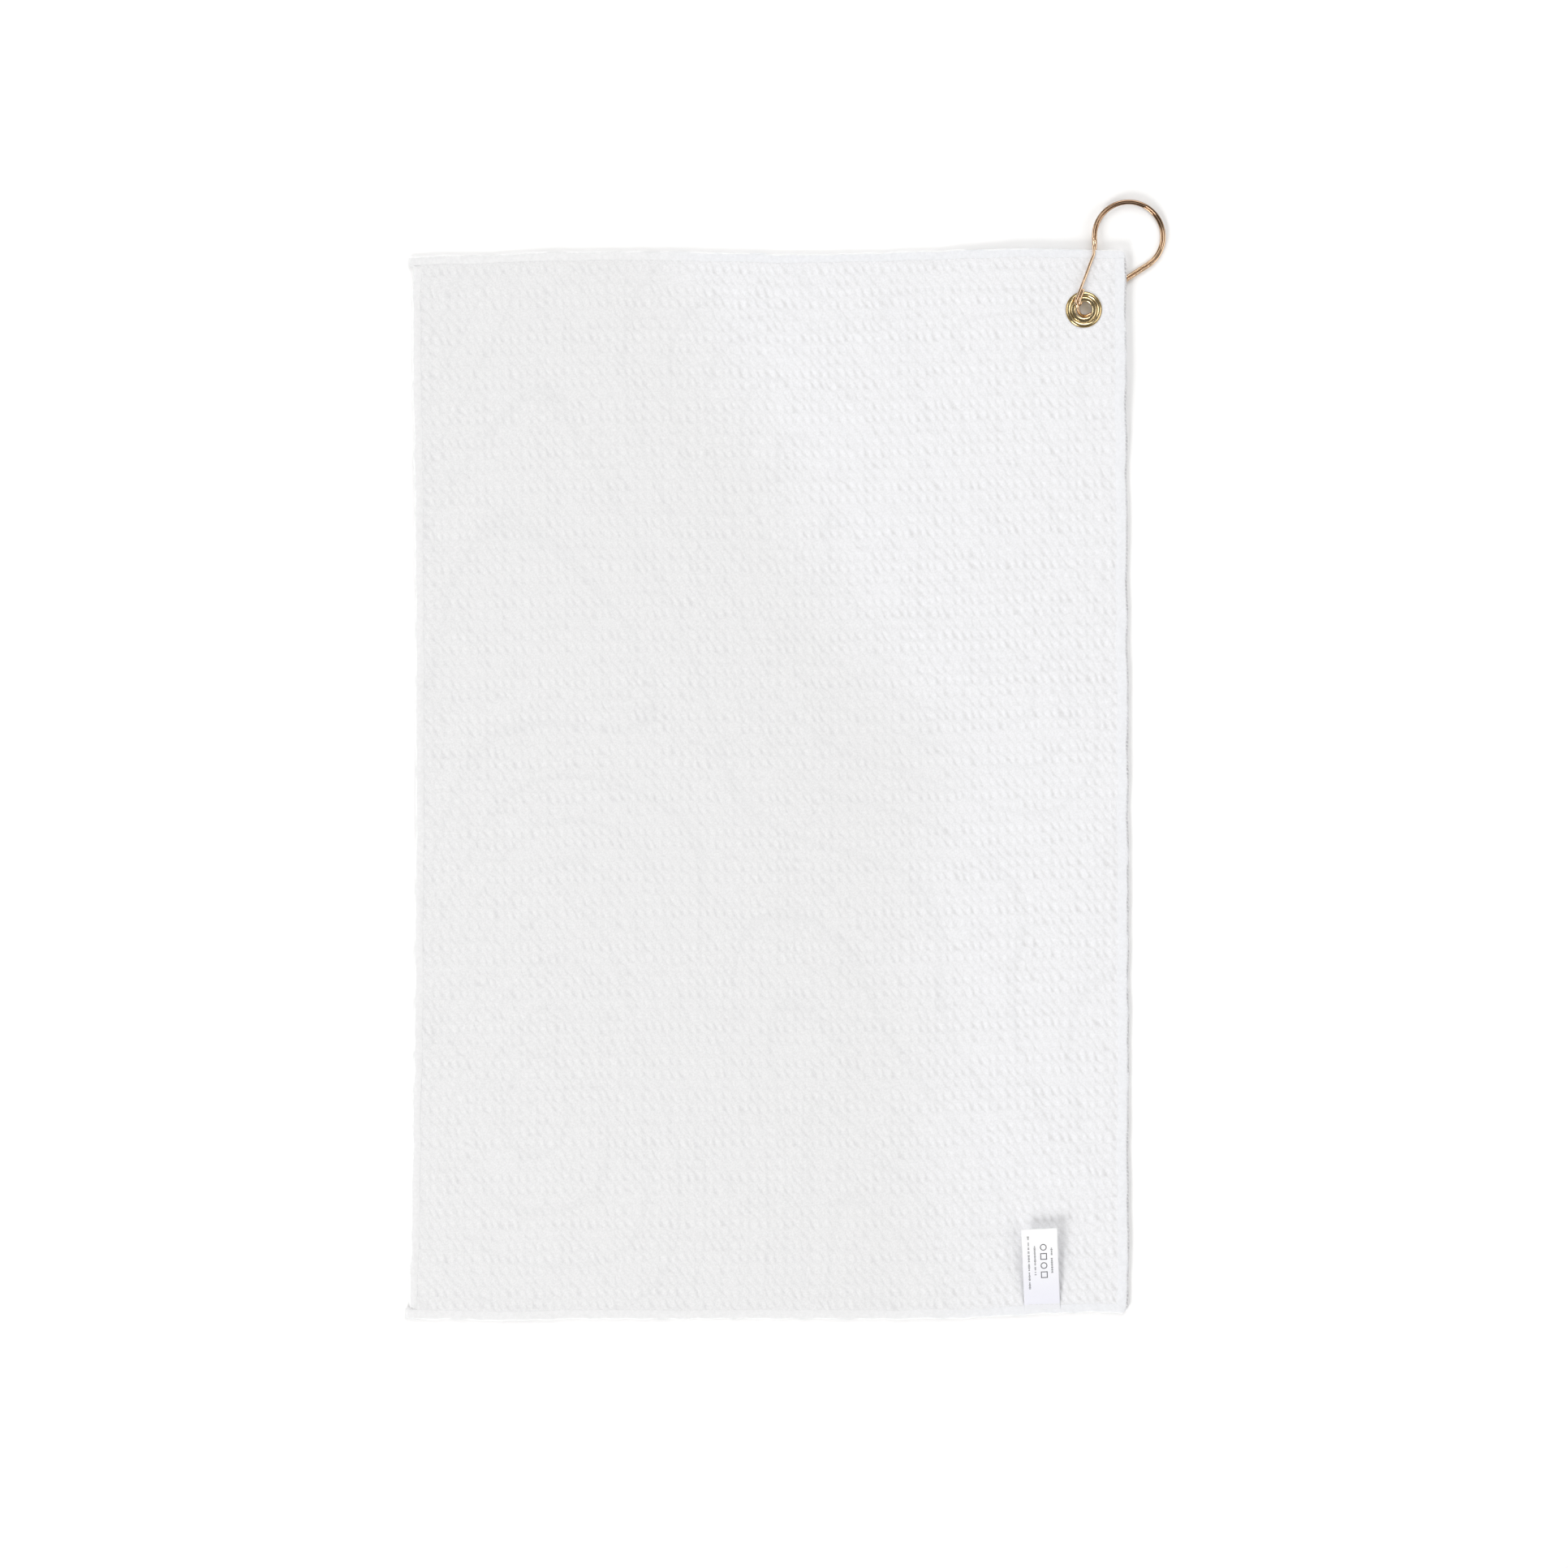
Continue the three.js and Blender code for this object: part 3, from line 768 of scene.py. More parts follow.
# A hem's section: the fold's crown, its slope to the seam, the groove and the dive under the panel.
FOLD_SKIN = 0.05 * MM
CROWN = 0.10 * MM
CROWN_SLOPE = 0.3 * MM
GROOVE_HALF_WIDTH = 0.42 * MM
TUCK_ROUND_SEAM = (-0.3 * MM, 0.9 * MM)
TUCK_TOP = 0.8 * MM
TUCK_UNDER = 0.4 * MM
UNDER_GROOVE = 0.3 * MM
FOLD_BAND = (0.45 * MM, 0.95 * MM)
PUCKER = 0.09 * MM
PUCKER_WAVE = 9 * MM
EDGE_WANDER = 0.14 * MM
EDGE_WANDER_WAVE = 14 * MM


def on_side(name, inwards, along, height):
    """Flat towel points from distances in from a side's edge and along it."""
    edge, into, way, _, _ = SIDES[name]
    x = edge[0] + into[0] * inwards + way[0] * along
    y = edge[1] + into[1] * inwards + way[1] * along
    return np.stack([x, y, height], -1)


def hem_section(name):
    """Stations across a hem: distance in from the edge, half height, crown, groove, tuck and fold."""
    width = HEM_WIDTHS[name]
    seam = SEAM_FROM_EDGE[name]
    half = HEM_THICKNESS / 2
    bend = np.linspace(0, math.pi / 2, 9)
    round_in = half * (1 - np.cos(bend))
    round_up = (half - FOLD_SKIN) * np.sin(bend)
    flat_in = np.concatenate([
        np.linspace(half + 0.4 * MM, seam - 1.0 * MM, 6),
        np.linspace(seam - 0.6 * MM, seam + 0.6 * MM, 7),
        np.linspace(seam + 0.75 * MM, width, 5),
    ])
    inwards = np.concatenate([round_in, flat_in])
    rise = np.concatenate([round_up, np.full(len(flat_in), half - FOLD_SKIN)])
    crown = CROWN * arch(inwards / seam) - CROWN_SLOPE * smoothstep(inwards, 0.4 * seam, seam)
    groove = np.exp(-((inwards - seam) / GROOVE_HALF_WIDTH) ** 2)
    tuck = smoothstep(inwards - seam, *TUCK_ROUND_SEAM)
    fold = 1 - smoothstep(inwards, *FOLD_BAND)
    return inwards, rise, crown, groove, tuck, fold


def hem_piece(name, material):
    inwards, rise, crown, groove, tuck, fold = hem_section(name)
    start, end = SIDES[name][3:]
    stations = np.linspace(start, end, int((end - start) / HEM_ALONG_STEP) + 1)
    seed = 40 + list(SIDES).index(name)
    half = HEM_THICKNESS / 2
    count = len(inwards)
    s = stations[:, None]
    d = inwards[None, :]
    stitch_dip = 0.75 + 0.25 * np.cos(s * TAU / STITCH_PITCH)
    pucker = PUCKER * waves(s, d * 0.6, PUCKER_WAVE, seed) * arch(d / SEAM_FROM_EDGE[name])
    upper = half + rise + crown + pucker - SEAM_GROOVE[name] * groove * stitch_dip - TUCK_TOP * tuck
    lower = half - rise + UNDER_GROOVE * groove * stitch_dip + TUCK_UNDER * tuck
    upper = upper + HEM_RAISED.get(name, 0.0)
    inset = EDGE_INSET.get(name, 0.0)
    d = inset + d * (HEM_WIDTHS[name] - inset) / HEM_WIDTHS[name]
    wander = EDGE_WANDER * waves(s, np.zeros_like(s), EDGE_WANDER_WAVE, seed + 10)
    d = d + wander * (1 - smoothstep(d, 0, 3 * MM))
    ends = np.minimum(stations - start, end - stations)
    squeeze = np.sqrt(np.clip(1 - (1 - np.clip(ends / HEM_END_ROUND, 0, 1)) ** 2, 0.02, 1))[:, None]
    middle = HEM_WIDTHS[name] / 2
    d = middle + (d - middle) * mix(0.8, 1, squeeze)
    upper = half + (upper - half) * squeeze
    lower = half + (lower - half) * squeeze
    loop_in = np.concatenate([d[:, ::-1], d[:, 1:]], 1)
    loop_up = np.concatenate([upper[:, ::-1], lower[:, 1:]], 1)
    loop_fold = np.concatenate([fold[::-1], fold[1:]])
    around = 2 * count - 1
    along = np.repeat(stations, around)
    points = lay(on_side(name, loop_in.ravel(), along, loop_up.ravel()))
    quads = grid_faces(len(stations), around, wrap_columns=True)
    caps = np.stack([np.arange(around), np.arange(around)[::-1] + (len(stations) - 1) * around])
    piece = make_piece(name + "_hem_band", points, [quads, caps], "towel", [material],
                       attributes={"fold": np.tile(loop_fold, len(stations))})
    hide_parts(name + "_hem")
    return piece


def stitch_row(name):
    """A lockstitch row: short bowed threads over the seam on both faces."""
    start, end = SIDES[name][3:]
    seam = SEAM_FROM_EDGE[name]
    parts = []
    bow = np.linspace(0, math.pi, 7)
    for middle in np.arange(start + STITCH_PITCH, end - STITCH_PITCH / 2, STITCH_PITCH):
        along = middle - np.cos(bow) * STITCH_REACH
        inwards = np.full(len(bow), seam) + STITCH_SWING * math.sin(middle * 900)
        over = STITCH_OVER + STITCH_BOW * np.sin(bow)
        if name == "bottom" and abs(middle - LABEL_SEAM[0]) < LABEL_WIDTH / 2:
            over = over + LABEL_STITCH_RISE
        under = STITCH_UNDER - STITCH_BOW * np.sin(bow)
        for height in (over, under):
            path = lay(on_side(name, inwards, along, height))
            parts.append(tube(path, STITCH_RADIUS, 6))
    points, faces = joined(parts)
    piece = make_piece(name + "_seam_thread", points, faces, "towel", [SEWING_THREAD])
    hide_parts(name + "_hem_stitching")
    return piece


def overlock_piece():
    """Thread looped round the right edge, with a chain of it along the edge."""
    parts = []
    start, end = SIDES["right"][3:]
    turn = np.linspace(-0.66 * math.pi, 0.66 * math.pi, 13)
    half = HEM_THICKNESS / 2
    for number, middle in enumerate(np.arange(start + 2 * MM, end - 2 * MM, OVERLOCK_PITCH)):
        along = middle + 0.3 * OVERLOCK_PITCH * turn / math.pi * 2 + 0.12 * MM * math.sin(number * 2.4)
        depth = (0.84 + 0.14 * math.sin(number * 5.1)) * MM
        inwards = 0.9 * MM - depth * np.cos(turn)
        height = half + (half + 0.05 * MM) * np.sin(turn)
        path = lay(on_side("right", inwards, along, np.maximum(height, LOOP_LOWEST)))
        parts.append(tube(path, OVERLOCK_RADIUS, 6))
    along = np.arange(start + 2 * MM, end - 2 * MM, OVERLOCK_PITCH / 5)
    beat = along * TAU / OVERLOCK_PITCH
    inwards = CHAIN_RADIUS + CHAIN_SWING * np.sin(beat) + 0.05 * MM * np.sin(beat * 0.31)
    chain = lay(on_side("right", inwards, along, half + CHAIN_RISE * np.cos(beat)))
    parts.append(tube(chain, CHAIN_RADIUS, 6))
    points, faces = joined(parts)
    piece = make_piece("right_edge_loops", points, faces, "towel", [OVERLOCK_THREAD])
    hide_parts("right_edge_overlock")
    return piece


# ---------- metal

BRASS = (0.84, 0.68, 0.40, 1)
DULL_AND_SHADED_BRASS = (0.34, 0.235, 0.085, 1)
WIRE_COPPER = (0.82, 0.60, 0.41, 1)
DULL_AND_SHADED_COPPER = (0.30, 0.185, 0.115, 1)
BRASS_STAINS = 0.16
WIRE_STAINS = 0.22

# Painted shade: the wire darkens towards the top of its loop: from where to where along y, and how far.
WIRE_SHADE_Y = (0.298, 0.332)
WIRE_SHADE_DEPTH = (0.1, 0.85)


def stain_and_shade(tree, shader, stains, strength, painted_shade, clean, dull_and_shaded):
    """Colours a metal from clean to darker: by its painted shade, and more in stained patches."""
    patches = remap(tree, stains, 0.4, 0.75)
    share = math_node(tree, "MULTIPLY_ADD", patches, strength, painted_shade, clamp=True)
    set_shader(tree, shader, Base_Color=blend_colours(tree, share, clean, dull_and_shaded), Metallic=1.0)


def brass_material():
    material, tree, shader = new_material("grommet_brass")
    place = object_place(tree)
    stains = noise(tree, place, scale=350, detail=4.0, roughness=0.6)
    # Painted shade from the recess attribute, and real stains in patches.
    stain_and_shade(tree, shader, stains, BRASS_STAINS, attribute(tree, "recess_shade"), BRASS, DULL_AND_SHADED_BRASS)
    scratches = noise(tree, place, scale=2500, detail=5.0, roughness=0.8)
    polish = remap(tree, stains, 0.3, 0.8, 0.17, 0.25)
    set_shader(tree, shader, Roughness=polish, Normal=bump(tree, scratches, 0.02 * MM, 0.25))
    return material


def wire_material():
    material, tree, shader = new_material("hook_wire")
    place = object_place(tree)
    stains = noise(tree, place, scale=160, detail=4.0, roughness=0.6)
    _, y, _ = split_axes(tree, place)
    # Painted shade: the loop is darker towards its top.
    top_shade = remap(tree, y, *WIRE_SHADE_Y, *WIRE_SHADE_DEPTH)
    stain_and_shade(tree, shader, stains, WIRE_STAINS, top_shade, WIRE_COPPER, DULL_AND_SHADED_COPPER)
    marks = noise(tree, place, scale=1800, detail=4.0, roughness=0.7)
    polish = remap(tree, marks, 0.3, 0.8, 0.07, 0.14)
    set_shader(tree, shader, Roughness=polish, Normal=bump(tree, marks, 0.015 * MM, 0.3))
    return material


TURN_STEPS = 144

# Painted shade on the grommet's brass: the washer's valley and outer slope, and inside the barrel.
VALLEY_RADIUS = 7.45 * MM
VALLEY_HALF_WIDTH = 0.45 * MM
VALLEY_SHADE = 0.6
SHADED_SLOPE = (9.0 * MM, 10.1 * MM)
BARREL_SHADE = 0.15
BARREL_INSIDE = 4.9 * MM


def turned_piece(name, profile, recess_shade, material, node_name):
    """A closed profile of (radius, height) turned about the grommet's axis."""
    profile = np.asarray(profile)
    angle = np.arange(TURN_STEPS) * TAU / TURN_STEPS
    x = GROMMET_X + np.cos(angle)[:, None] * profile[:, 0]
    y = GROMMET_Y + np.sin(angle)[:, None] * profile[:, 0]
    z = np.broadcast_to(profile[:, 1], x.shape)
    points = np.stack([x, y, z], -1).reshape(-1, 3)
    faces = grid_faces(TURN_STEPS, len(profile), wrap_rows=True, wrap_columns=True)
    piece = make_piece(name, points, [faces], "towel", [material],
                       attributes={"recess_shade": np.tile(recess_shade, TURN_STEPS)})
    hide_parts(node_name)
    return piece


def rounded(points, steps=5):
    """A closed outline through given points (mm), smoothed, as (radius, height) in metres."""
    points = np.asarray(points, float)
    wrapped = np.vstack([points[-2:], points, points[:3]])
    curve = centripetal_curve(wrapped, steps)
    return curve[2 * steps:(2 + len(points)) * steps] * MM


def washer_piece(material):
    base = WASHER_BASE / MM
    outline = rounded([
        (5.6, base), (8.0, base), (10.1, base), (10.3, base + 0.14), (10.28, base + 0.34),
        (9.95, base + 0.72), (9.35, base + 1.02), (8.7, base + 1.08), (8.1, base + 0.86),
        (7.65, base + 0.52), (7.3, base + 0.45), (6.4, base + 0.45), (5.6, base + 0.42),
    ])
    radius, height = outline.T
    upper = height > WASHER_BASE + 0.2 * MM
    # Painted shade in the washer's valley and on its outer slope.
    valley = VALLEY_SHADE * np.exp(-((radius - VALLEY_RADIUS) / VALLEY_HALF_WIDTH) ** 2) * upper
    slope = smoothstep(radius, *SHADED_SLOPE)
    return turned_piece("grommet_ring", outline, valley + slope, material, "grommet_washer")


def eyelet_piece(material):
    low, high = (corner.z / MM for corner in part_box("grommet_eyelet"))
    outline = rounded([
        (5.15, low + 0.02), (9.1, low + 0.02), (9.9, low + 0.2), (10.3, low + 0.55), (9.9, low + 0.85),
        (7.5, low + 0.9), (5.3, low + 0.95), (5.25, low + 2.4), (5.25, high - 0.5), (6.6, high - 0.5),
        (7.05, high - 0.42), (7.1, high - 0.22), (6.75, high - 0.06), (6.1, high), (5.4, high - 0.04),
        (4.9, high - 0.3), (4.75, high - 0.75), (4.75, low + 1.6), (4.8, low + 0.3),
    ])
    radius, height = outline.T
    below_lip = smoothstep(high * MM - height, 0.5 * MM, 2.5 * MM)
    # Painted shade inside the barrel.
    inside = (radius < BARREL_INSIDE) * below_lip * BARREL_SHADE
    return turned_piece("grommet_barrel", outline, inside, material, "grommet_eyelet")


# The hook's route, in millimetres from the grommet's axis. It follows the CAD's closely.
WIRE_RADIUS = 0.85
LOOP_RADIUS = 19.6
LOOP_CENTRE = (25.75, 42)
LOOP_END_DEG = -57
STRAND_APART = 0.87
NECK_Z = 4.2
TIP_Z = 1.42
TIP_RUN = 27
TIP_BEND_RADIUS = 1.15
TIP_BEND_RUN = 3.2
ARC_STEPS = 26
TIP_STEPS = 5
CAP_STEPS = 6

# How far the doubled wires are rolled, in degrees, at angles round the loop in rising order.
ROLL_AT = ((-57, -20, 10, 50, 90, 135, 180), (14, 20, 38, 50, 58, 40, 34))

# The legs: from the end under the cloth up through the hole and over to the neck, and back under it.
FRONT_LEG = [
    (9.6, 0.6, 0.85), (7.4, -0.6, 0.85), (5.2, -1.7, 0.88), (3.3, -2.7, 0.98), (1.6, -3.3, 1.35),
    (0.2, -3.45, 2.1), (-1.2, -3.1, 3.1), (-2.2, -2.4, 4.0), (-2.85, -1.4, 4.9), (-3.15, -0.3, 5.8),
    (-3.4, 0.8, 6.65), (-3.85, 2.1, 7.3), (-4.4, 3.5, 7.55), (-4.55, 4.9, 7.6), (-4.0, 6.4, 7.6),
    (-1.9, 11.8, 7.5), (1.0, 19.2, 7.1), (3.8, 26.9, 6.8), (5.5, 31.2, 6.7), (5.75, 32.6, 6.68),
    (5.62, 34.6, 6.68), (5.53, 36.6, 6.6), (5.47, 38.5, 5.95), (5.44, 40.3, 4.95),
]
BACK_LEG = [
    (6.86, 40.3, 3.4), (6.9, 38.5, 2.4), (6.85, 36.4, 1.8), (6.5, 34.4, 1.7), (5.2, 29.6, 1.6),
    (3.4, 21.6, 1.3), (1.4, 13.6, 1.0), (-0.2, 7.4, 0.9), (-1.2, 4.6, 0.92), (-2.0, 3.4, 1.15),
    (-2.45, 2.8, 1.9), (-2.6, 2.7, 3.0), (-2.6, 2.7, 4.4), (-2.5, 2.8, 5.7), (-2.45, 3.2, 6.85),
    (-2.5, 4.3, 7.55), (-2.35, 5.9, 7.65), (-1.45, 8.3, 7.6), (-0.35, 11.1, 7.5),
]


def loop_stations():
    """Middle line of the doubled part: (x, y, z, direction x, direction y, roll) from neck to tip."""
    found = []
    for i in range(ARC_STEPS + 1):
        degrees = mix(180, LOOP_END_DEG, i / ARC_STEPS)
        angle = math.radians(degrees)
        roll = math.radians(float(np.interp(degrees, *ROLL_AT)))
        z = mix(NECK_Z, TIP_Z, float(smoothstep(i, 0, ARC_STEPS * 0.75)))
        x = LOOP_CENTRE[0] + LOOP_RADIUS * math.cos(angle)
        y = LOOP_CENTRE[1] + LOOP_RADIUS * math.sin(angle)
        found.append((x, y, z, math.sin(angle), -math.cos(angle), roll))
    x, y, z, dx, dy, roll = found[-1]
    for i in range(1, TIP_STEPS + 1):
        run = TIP_RUN * i / TIP_STEPS
        found.append((x + dx * run, y + dy * run, z, dx, dy, roll))
    return found


def strand(stations, sign):
    """One of the two wires, which lie side by side and roll over each other along the loop."""
    found = []
    for x, y, z, dx, dy, roll in stations:
        across = STRAND_APART * math.cos(roll) * sign
        found.append((x - dy * across, y + dx * across, z + STRAND_APART * math.sin(roll) * sign))
    return found


def tip_bend(stations):
    """The tight turn that joins the two wires at the tip."""
    x, y, z, dx, dy, _ = stations[-1]
    x, y = x + dx * TIP_BEND_RUN, y + dy * TIP_BEND_RUN
    found = []
    for i in range(7):
        angle = math.radians(mix(100, -100, i / 6))
        out = TIP_BEND_RADIUS * math.cos(angle)
        aside = TIP_BEND_RADIUS * math.sin(angle)
        found.append((x + dx * out - dy * aside, y + dy * out + dx * aside, z + 0.2 * math.sin(angle)))
    return found


def round_end(tip, neighbour, ends):
    """Stations past the wire's tip, outermost first, for its rounded end."""
    outwards = (tip - neighbour) / np.linalg.norm(tip - neighbour)
    return tip + outwards * (1 - ends)[:, None] * WIRE_RADIUS


def hook_piece(material):
    stations = loop_stations()
    route = FRONT_LEG + strand(stations, 1) + tip_bend(stations) + strand(stations, -1)[::-1] + BACK_LEG
    path = centripetal_curve(route, 6)
    ends = np.linspace(0, 1, CAP_STEPS)[1:]
    cap = np.sqrt(np.clip(1 - (1 - ends) ** 2, 0.03, 1))
    first = round_end(path[0], path[1], ends)
    last = round_end(path[-1], path[-2], ends)[::-1]
    path = np.vstack([first[:-1], path, last[1:]])
    plain = np.ones(len(path) - 2 * len(cap) + 2)
    radii = np.concatenate([cap[:-1], plain, cap[::-1][1:]]) * WIRE_RADIUS
    path = path * MM + [GROMMET_X, GROMMET_Y, 0]
    points, quads, caps = tube(path, radii * MM, 16)
    piece = make_piece("bent_wire_hook", points, [quads, caps], "hook", [material])
    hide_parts("wire_hook")
    return piece


# ---------- care label

LABEL_LENGTH = 43.6 * MM
LABEL_TUCK = 3.9 * MM
LABEL_THICKNESS = 0.16 * MM
LABEL_RISE = math.radians(8)
LABEL_BELLY = 0.5 * MM
LABEL_CORNER_LIFT = 0.9 * MM
LABEL_STEPS = (40, 96)

SATIN = (0.90, 0.90, 0.91, 1)
SHADED_SATIN = (0.80, 0.80, 0.87, 1)
SEWN_SATIN = (0.785, 0.79, 0.82, 1)
INK = (0.03, 0.03, 0.04, 1)
INK_STRENGTH = 0.94
DASH_INK = 0.8
DASH_SHARE = 0.74
DASH_MISSING = 0.14

# Greeked lines of print, in millimetres: place across, width, start, end and pitch along.
LABEL_LINES = [
    (3.6, 1.25, 8.8, 39.6, 0.72),
    (7.1, 1.2, 16.7, 33.8, 0.70),
    (16.7, 1.2, 17.0, 32.4, 0.74),
]

# Plain outlined marks in a row, in millimetres.
MARK_COUNT = 4
MARK_ACROSS = 12.1
MARK_FIRST = 16.9
MARK_PITCH = 5.3
MARK_SIZE = 3.3
MARK_LINE = 0.5


def cell_noise(tree, cell, seed):
    vector = node(tree, "CombineXYZ", {0: cell, 1: seed})
    return node(tree, "TexWhiteNoise", {"Vector": vector})


def dashes(tree, across, along, column, width, start, end, pitch, seed):
    """One greeked line of print: a row of small bars of uneven size along the label."""
    steps = math_node(tree, "DIVIDE", along, pitch)
    cell = math_node(tree, "FLOOR", steps)
    part = math_node(tree, "SUBTRACT", steps, cell)
    reach = math_node(tree, "MULTIPLY_ADD", cell_noise(tree, cell, seed + 0.5), width * 0.25, width * 0.25)
    shown = math_node(tree, "LESS_THAN", apart(tree, across, column), reach)
    tests = [
        ("GREATER_THAN", along, start),
        ("LESS_THAN", along, end),
        ("LESS_THAN", part, DASH_SHARE),
        ("GREATER_THAN", cell_noise(tree, cell, seed), DASH_MISSING),
    ]
    for test in tests:
        shown = times(tree, shown, math_node(tree, *test))
    return times(tree, shown, DASH_INK)


def outline_mark(tree, across, along, place_along, round_mark):
    """A plain square or ring outline."""
    dx = apart(tree, across, MARK_ACROSS)
    dy = apart(tree, along, place_along)
    if round_mark:
        squares = math_node(tree, "MULTIPLY_ADD", dx, dx, times(tree, dy, dy))
        reach = math_node(tree, "SQRT", squares)
    else:
        reach = math_node(tree, "MAXIMUM", dx, dy)
    return math_node(tree, "LESS_THAN", apart(tree, reach, MARK_SIZE / 2), MARK_LINE / 2)


def label_material():
    material, tree, shader = new_material("label_satin")
    u, v, _ = split_axes(tree, node(tree, "UVMap", uv_map="label_flat"))
    across = times(tree, u, LABEL_WIDTH / MM)
    along = times(tree, v, LABEL_LENGTH / MM)
    marks = [dashes(tree, across, along, *line, seed=1.0 + i) for i, line in enumerate(LABEL_LINES)]
    for number in range(MARK_COUNT):
        place = MARK_FIRST + MARK_PITCH * number
        marks.append(outline_mark(tree, across, along, place, round_mark=number % 2 == 1))
    ink = marks[0]
    for mark in marks[1:]:
        ink = math_node(tree, "MAXIMUM", ink, mark)
    # Painted shade: the satin darkens and turns bluer from its free end towards the seam. At the seam
    # itself it is darker still.
    free = blend_colours(tree, remap(tree, along, 0.0, 38.0), SHADED_SATIN, SATIN)
    satin = blend_colours(tree, remap(tree, along, -0.5, 0.3), SEWN_SATIN, free)
    faded = times(tree, ink, INK_STRENGTH)
    slowed = times(tree, along, 0.12)
    threads = noise(tree, node(tree, "CombineXYZ", {0: across, 1: slowed}), scale=9.0, detail=1.0)
    colour = blend_colours(tree, faded, satin, INK)
    set_shader(tree, shader, Base_Color=colour, Normal=bump(tree, threads, 0.03 * MM, 0.5))
    set_shader(tree, shader, Roughness=0.42, Sheen_Weight=0.2, Specular_IOR_Level=0.5)
    return material


def label_piece(material):
    onwards = np.cross([0, 0, 1.0], LABEL_SIDEWAYS)
    a = np.linspace(-0.5, 0.5, LABEL_STEPS[0] + 1)
    b = np.linspace(-LABEL_TUCK, LABEL_LENGTH, LABEL_STEPS[1] + 1)
    a, b = np.meshgrid(a, b)
    edge = 1 + 0.002 * waves(b, b * 0, 9 * MM, seed=71)
    across = a * LABEL_WIDTH * edge
    share = np.clip(b / LABEL_LENGTH, 0, 1)
    rise = b * math.sin(LABEL_RISE) + LABEL_BELLY * arch(share)
    corner = LABEL_CORNER_LIFT * share ** 3 * (2 * a) ** 2 * np.where(a > 0, 1.0, 0.35)
    run = np.where(b > 0, b * math.cos(LABEL_RISE), b)
    middle = LABEL_SIDEWAYS * across[..., None] + onwards * run[..., None] + LABEL_SEAM
    sewn = HEM_THICKNESS - 0.02 * MM + rumple(middle[..., 0], middle[..., 1])
    sewn = sewn + 0.22 * MM * smoothstep(-b, 0.4 * MM, 2.4 * MM)
    sewn = sewn - 0.6 * MM * smoothstep(-b, LABEL_TUCK - 1.3 * MM, LABEL_TUCK)
    middle[..., 2] = mix(sewn, LABEL_SEAM[2] + rise + corner, smoothstep(b, 0, 5 * MM))
    up = np.array([0, 0, LABEL_THICKNESS / 2])
    points = np.vstack([(middle + up).reshape(-1, 3), (middle - up).reshape(-1, 3)])
    quads = grid_faces(*a.shape)
    index = np.arange(a.size).reshape(a.shape)
    loop = np.concatenate([index[0, :-1], index[:-1, -1], index[-1, :0:-1], index[:0:-1, 0]])
    after = np.roll(loop, -1)
    rim = np.stack([loop + a.size, after + a.size, after, loop], 1)
    faces = [quads[:, ::-1], quads + a.size, rim]
    piece = make_piece("satin_care_label", points, faces, None, [material])
    uv = np.stack([a.ravel() + 0.5, b.ravel() / LABEL_LENGTH], 1)
    layer = piece.data.uv_layers.new(name="label_flat")
    corners = np.zeros(len(piece.data.loops), np.int32)
    piece.data.loops.foreach_get("vertex_index", corners)
    layer.data.foreach_set("uv", uv[corners % a.size].astype(np.float32).ravel())
    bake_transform(piece)
    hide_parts("care_label")
    return piece


# ---------- studio

FLOOR_HALF = 8.0
FLOOR_GLOW = 0.03
FLOOR_WHITE = (0.925, 0.935)
FLOOR_Z = -0.1 * MM
SOFTBOX_DISTANCE = 4.2
WORLD_HORIZON = (0.95, 0.95, 0.96, 1)
WORLD_ZENITH = (0.10, 0.092, 0.080, 1)

# Softboxes: azimuth and elevation in degrees, size in metres, power in watts.
SOFTBOXES = [
    (-124, 36, 1.5, 88),
    (78, 42, 2.7, 75),
    (168, 42, 2.2, 38),
    (-12, 42, 3.2, 57),
    (100, 70, 0.5, 6),
]


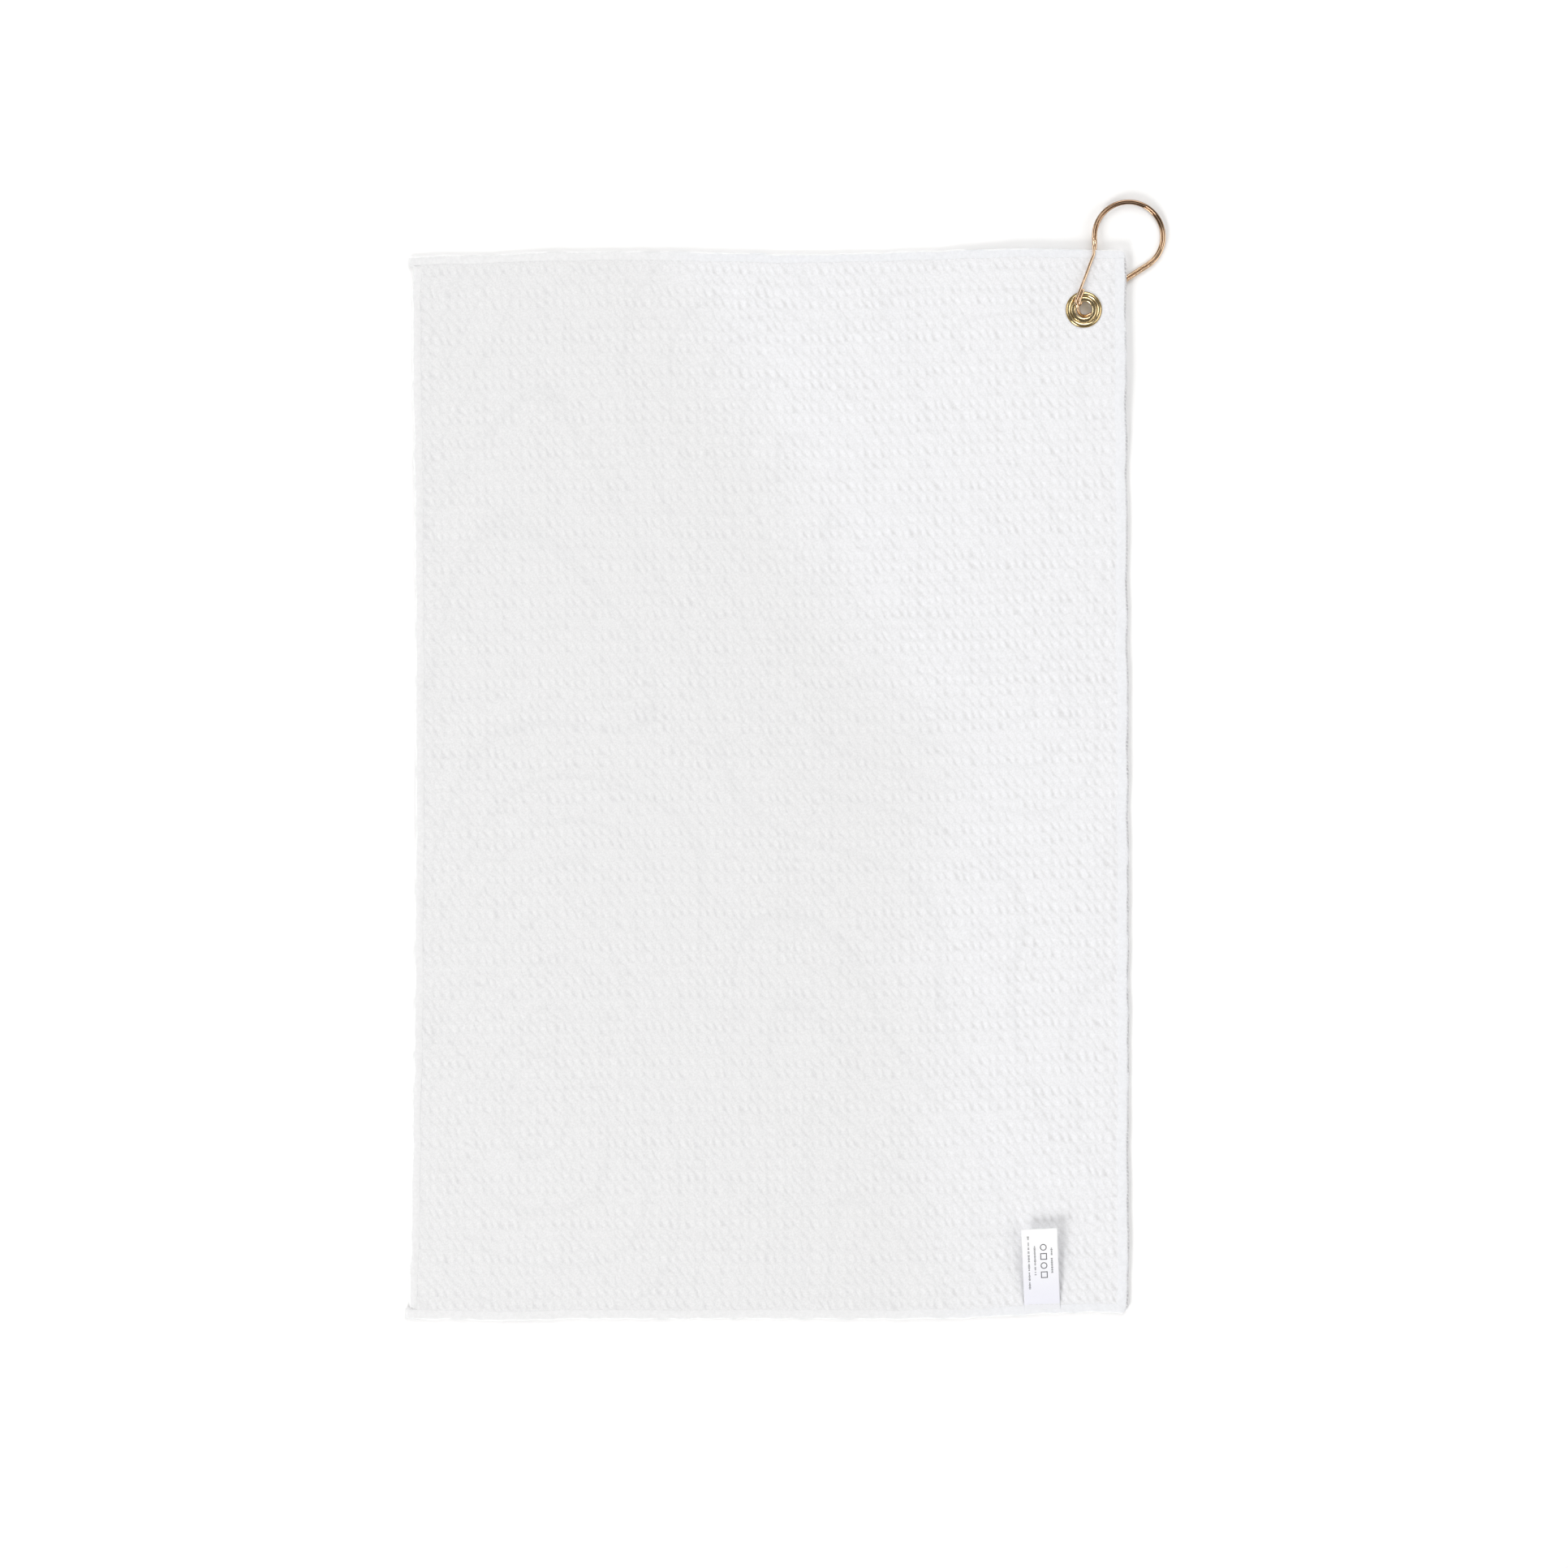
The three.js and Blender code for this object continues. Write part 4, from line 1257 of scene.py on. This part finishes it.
def make_floor():
    corners = np.array([(-1, -1), (1, -1), (1, 1), (-1, 1)]) * FLOOR_HALF
    points = np.column_stack([corners, np.full(4, FLOOR_Z)])
    mesh = bpy.data.meshes.new("floor")
    mesh.from_pydata(points.tolist(), [], [(0, 1, 2, 3)])
    material, tree, shader = new_material("floor_white")
    shade = remap(tree, noise(tree, object_place(tree), scale=3.0), 0.3, 0.7, *FLOOR_WHITE)
    set_shader(tree, shader, Base_Color=shade, Roughness=1.0, Specular_IOR_Level=0.0)
    set_shader(tree, shader, Emission_Color=(1, 1, 1, 1), Emission_Strength=FLOOR_GLOW)
    mesh.materials.append(material)
    floor = bpy.data.objects.new("floor", mesh)
    bpy.context.collection.objects.link(floor)
    return floor


def make_lights():
    for azimuth, elevation, size, power in SOFTBOXES:
        elevation = math.radians(elevation)
        data = bpy.data.lights.new(f"softbox_{azimuth}", "AREA")
        data.size = size
        data.energy = power
        light = bpy.data.objects.new(data.name, data)
        turn = math.radians(azimuth)
        ground = SOFTBOX_DISTANCE * math.cos(elevation)
        height = SOFTBOX_DISTANCE * math.sin(elevation)
        light.location = (ground * math.cos(turn), ground * math.sin(turn), height)
        light.rotation_euler = (math.pi / 2 - elevation, 0, turn + math.pi / 2)
        bpy.context.collection.objects.link(light)


def make_world():
    world = bpy.data.worlds.new("studio")
    world.use_nodes = True
    tree = world.node_tree
    _, _, z = split_axes(tree, node(tree, "TexCoord", output=0))
    share = remap(tree, z, 0.05, 0.75)
    background = next(n for n in tree.nodes if n.type == "BACKGROUND")
    tree.links.new(blend_colours(tree, share, WORLD_HORIZON, WORLD_ZENITH), background.inputs["Color"])
    bpy.context.scene.world = world


# ---------- assembly

def build():
    floor = make_floor()
    make_lights()
    make_world()
    bpy.context.scene.view_settings.view_transform = "Standard"

    cloth = panel_piece()
    with_cloth = [hem_piece("top", HEM_ALONG_X), hem_piece("bottom", HEM_ALONG_X),
                  hem_piece("left", HEM_ALONG_Y), hem_piece("right", HEM_RIGHT)]
    with_cloth += [stitch_row(name) for name in SIDES]
    with_cloth.append(overlock_piece())

    brass = brass_material()
    washer_piece(brass)
    eyelet_piece(brass)
    hook_piece(wire_material())
    label = label_piece(label_material())


build()
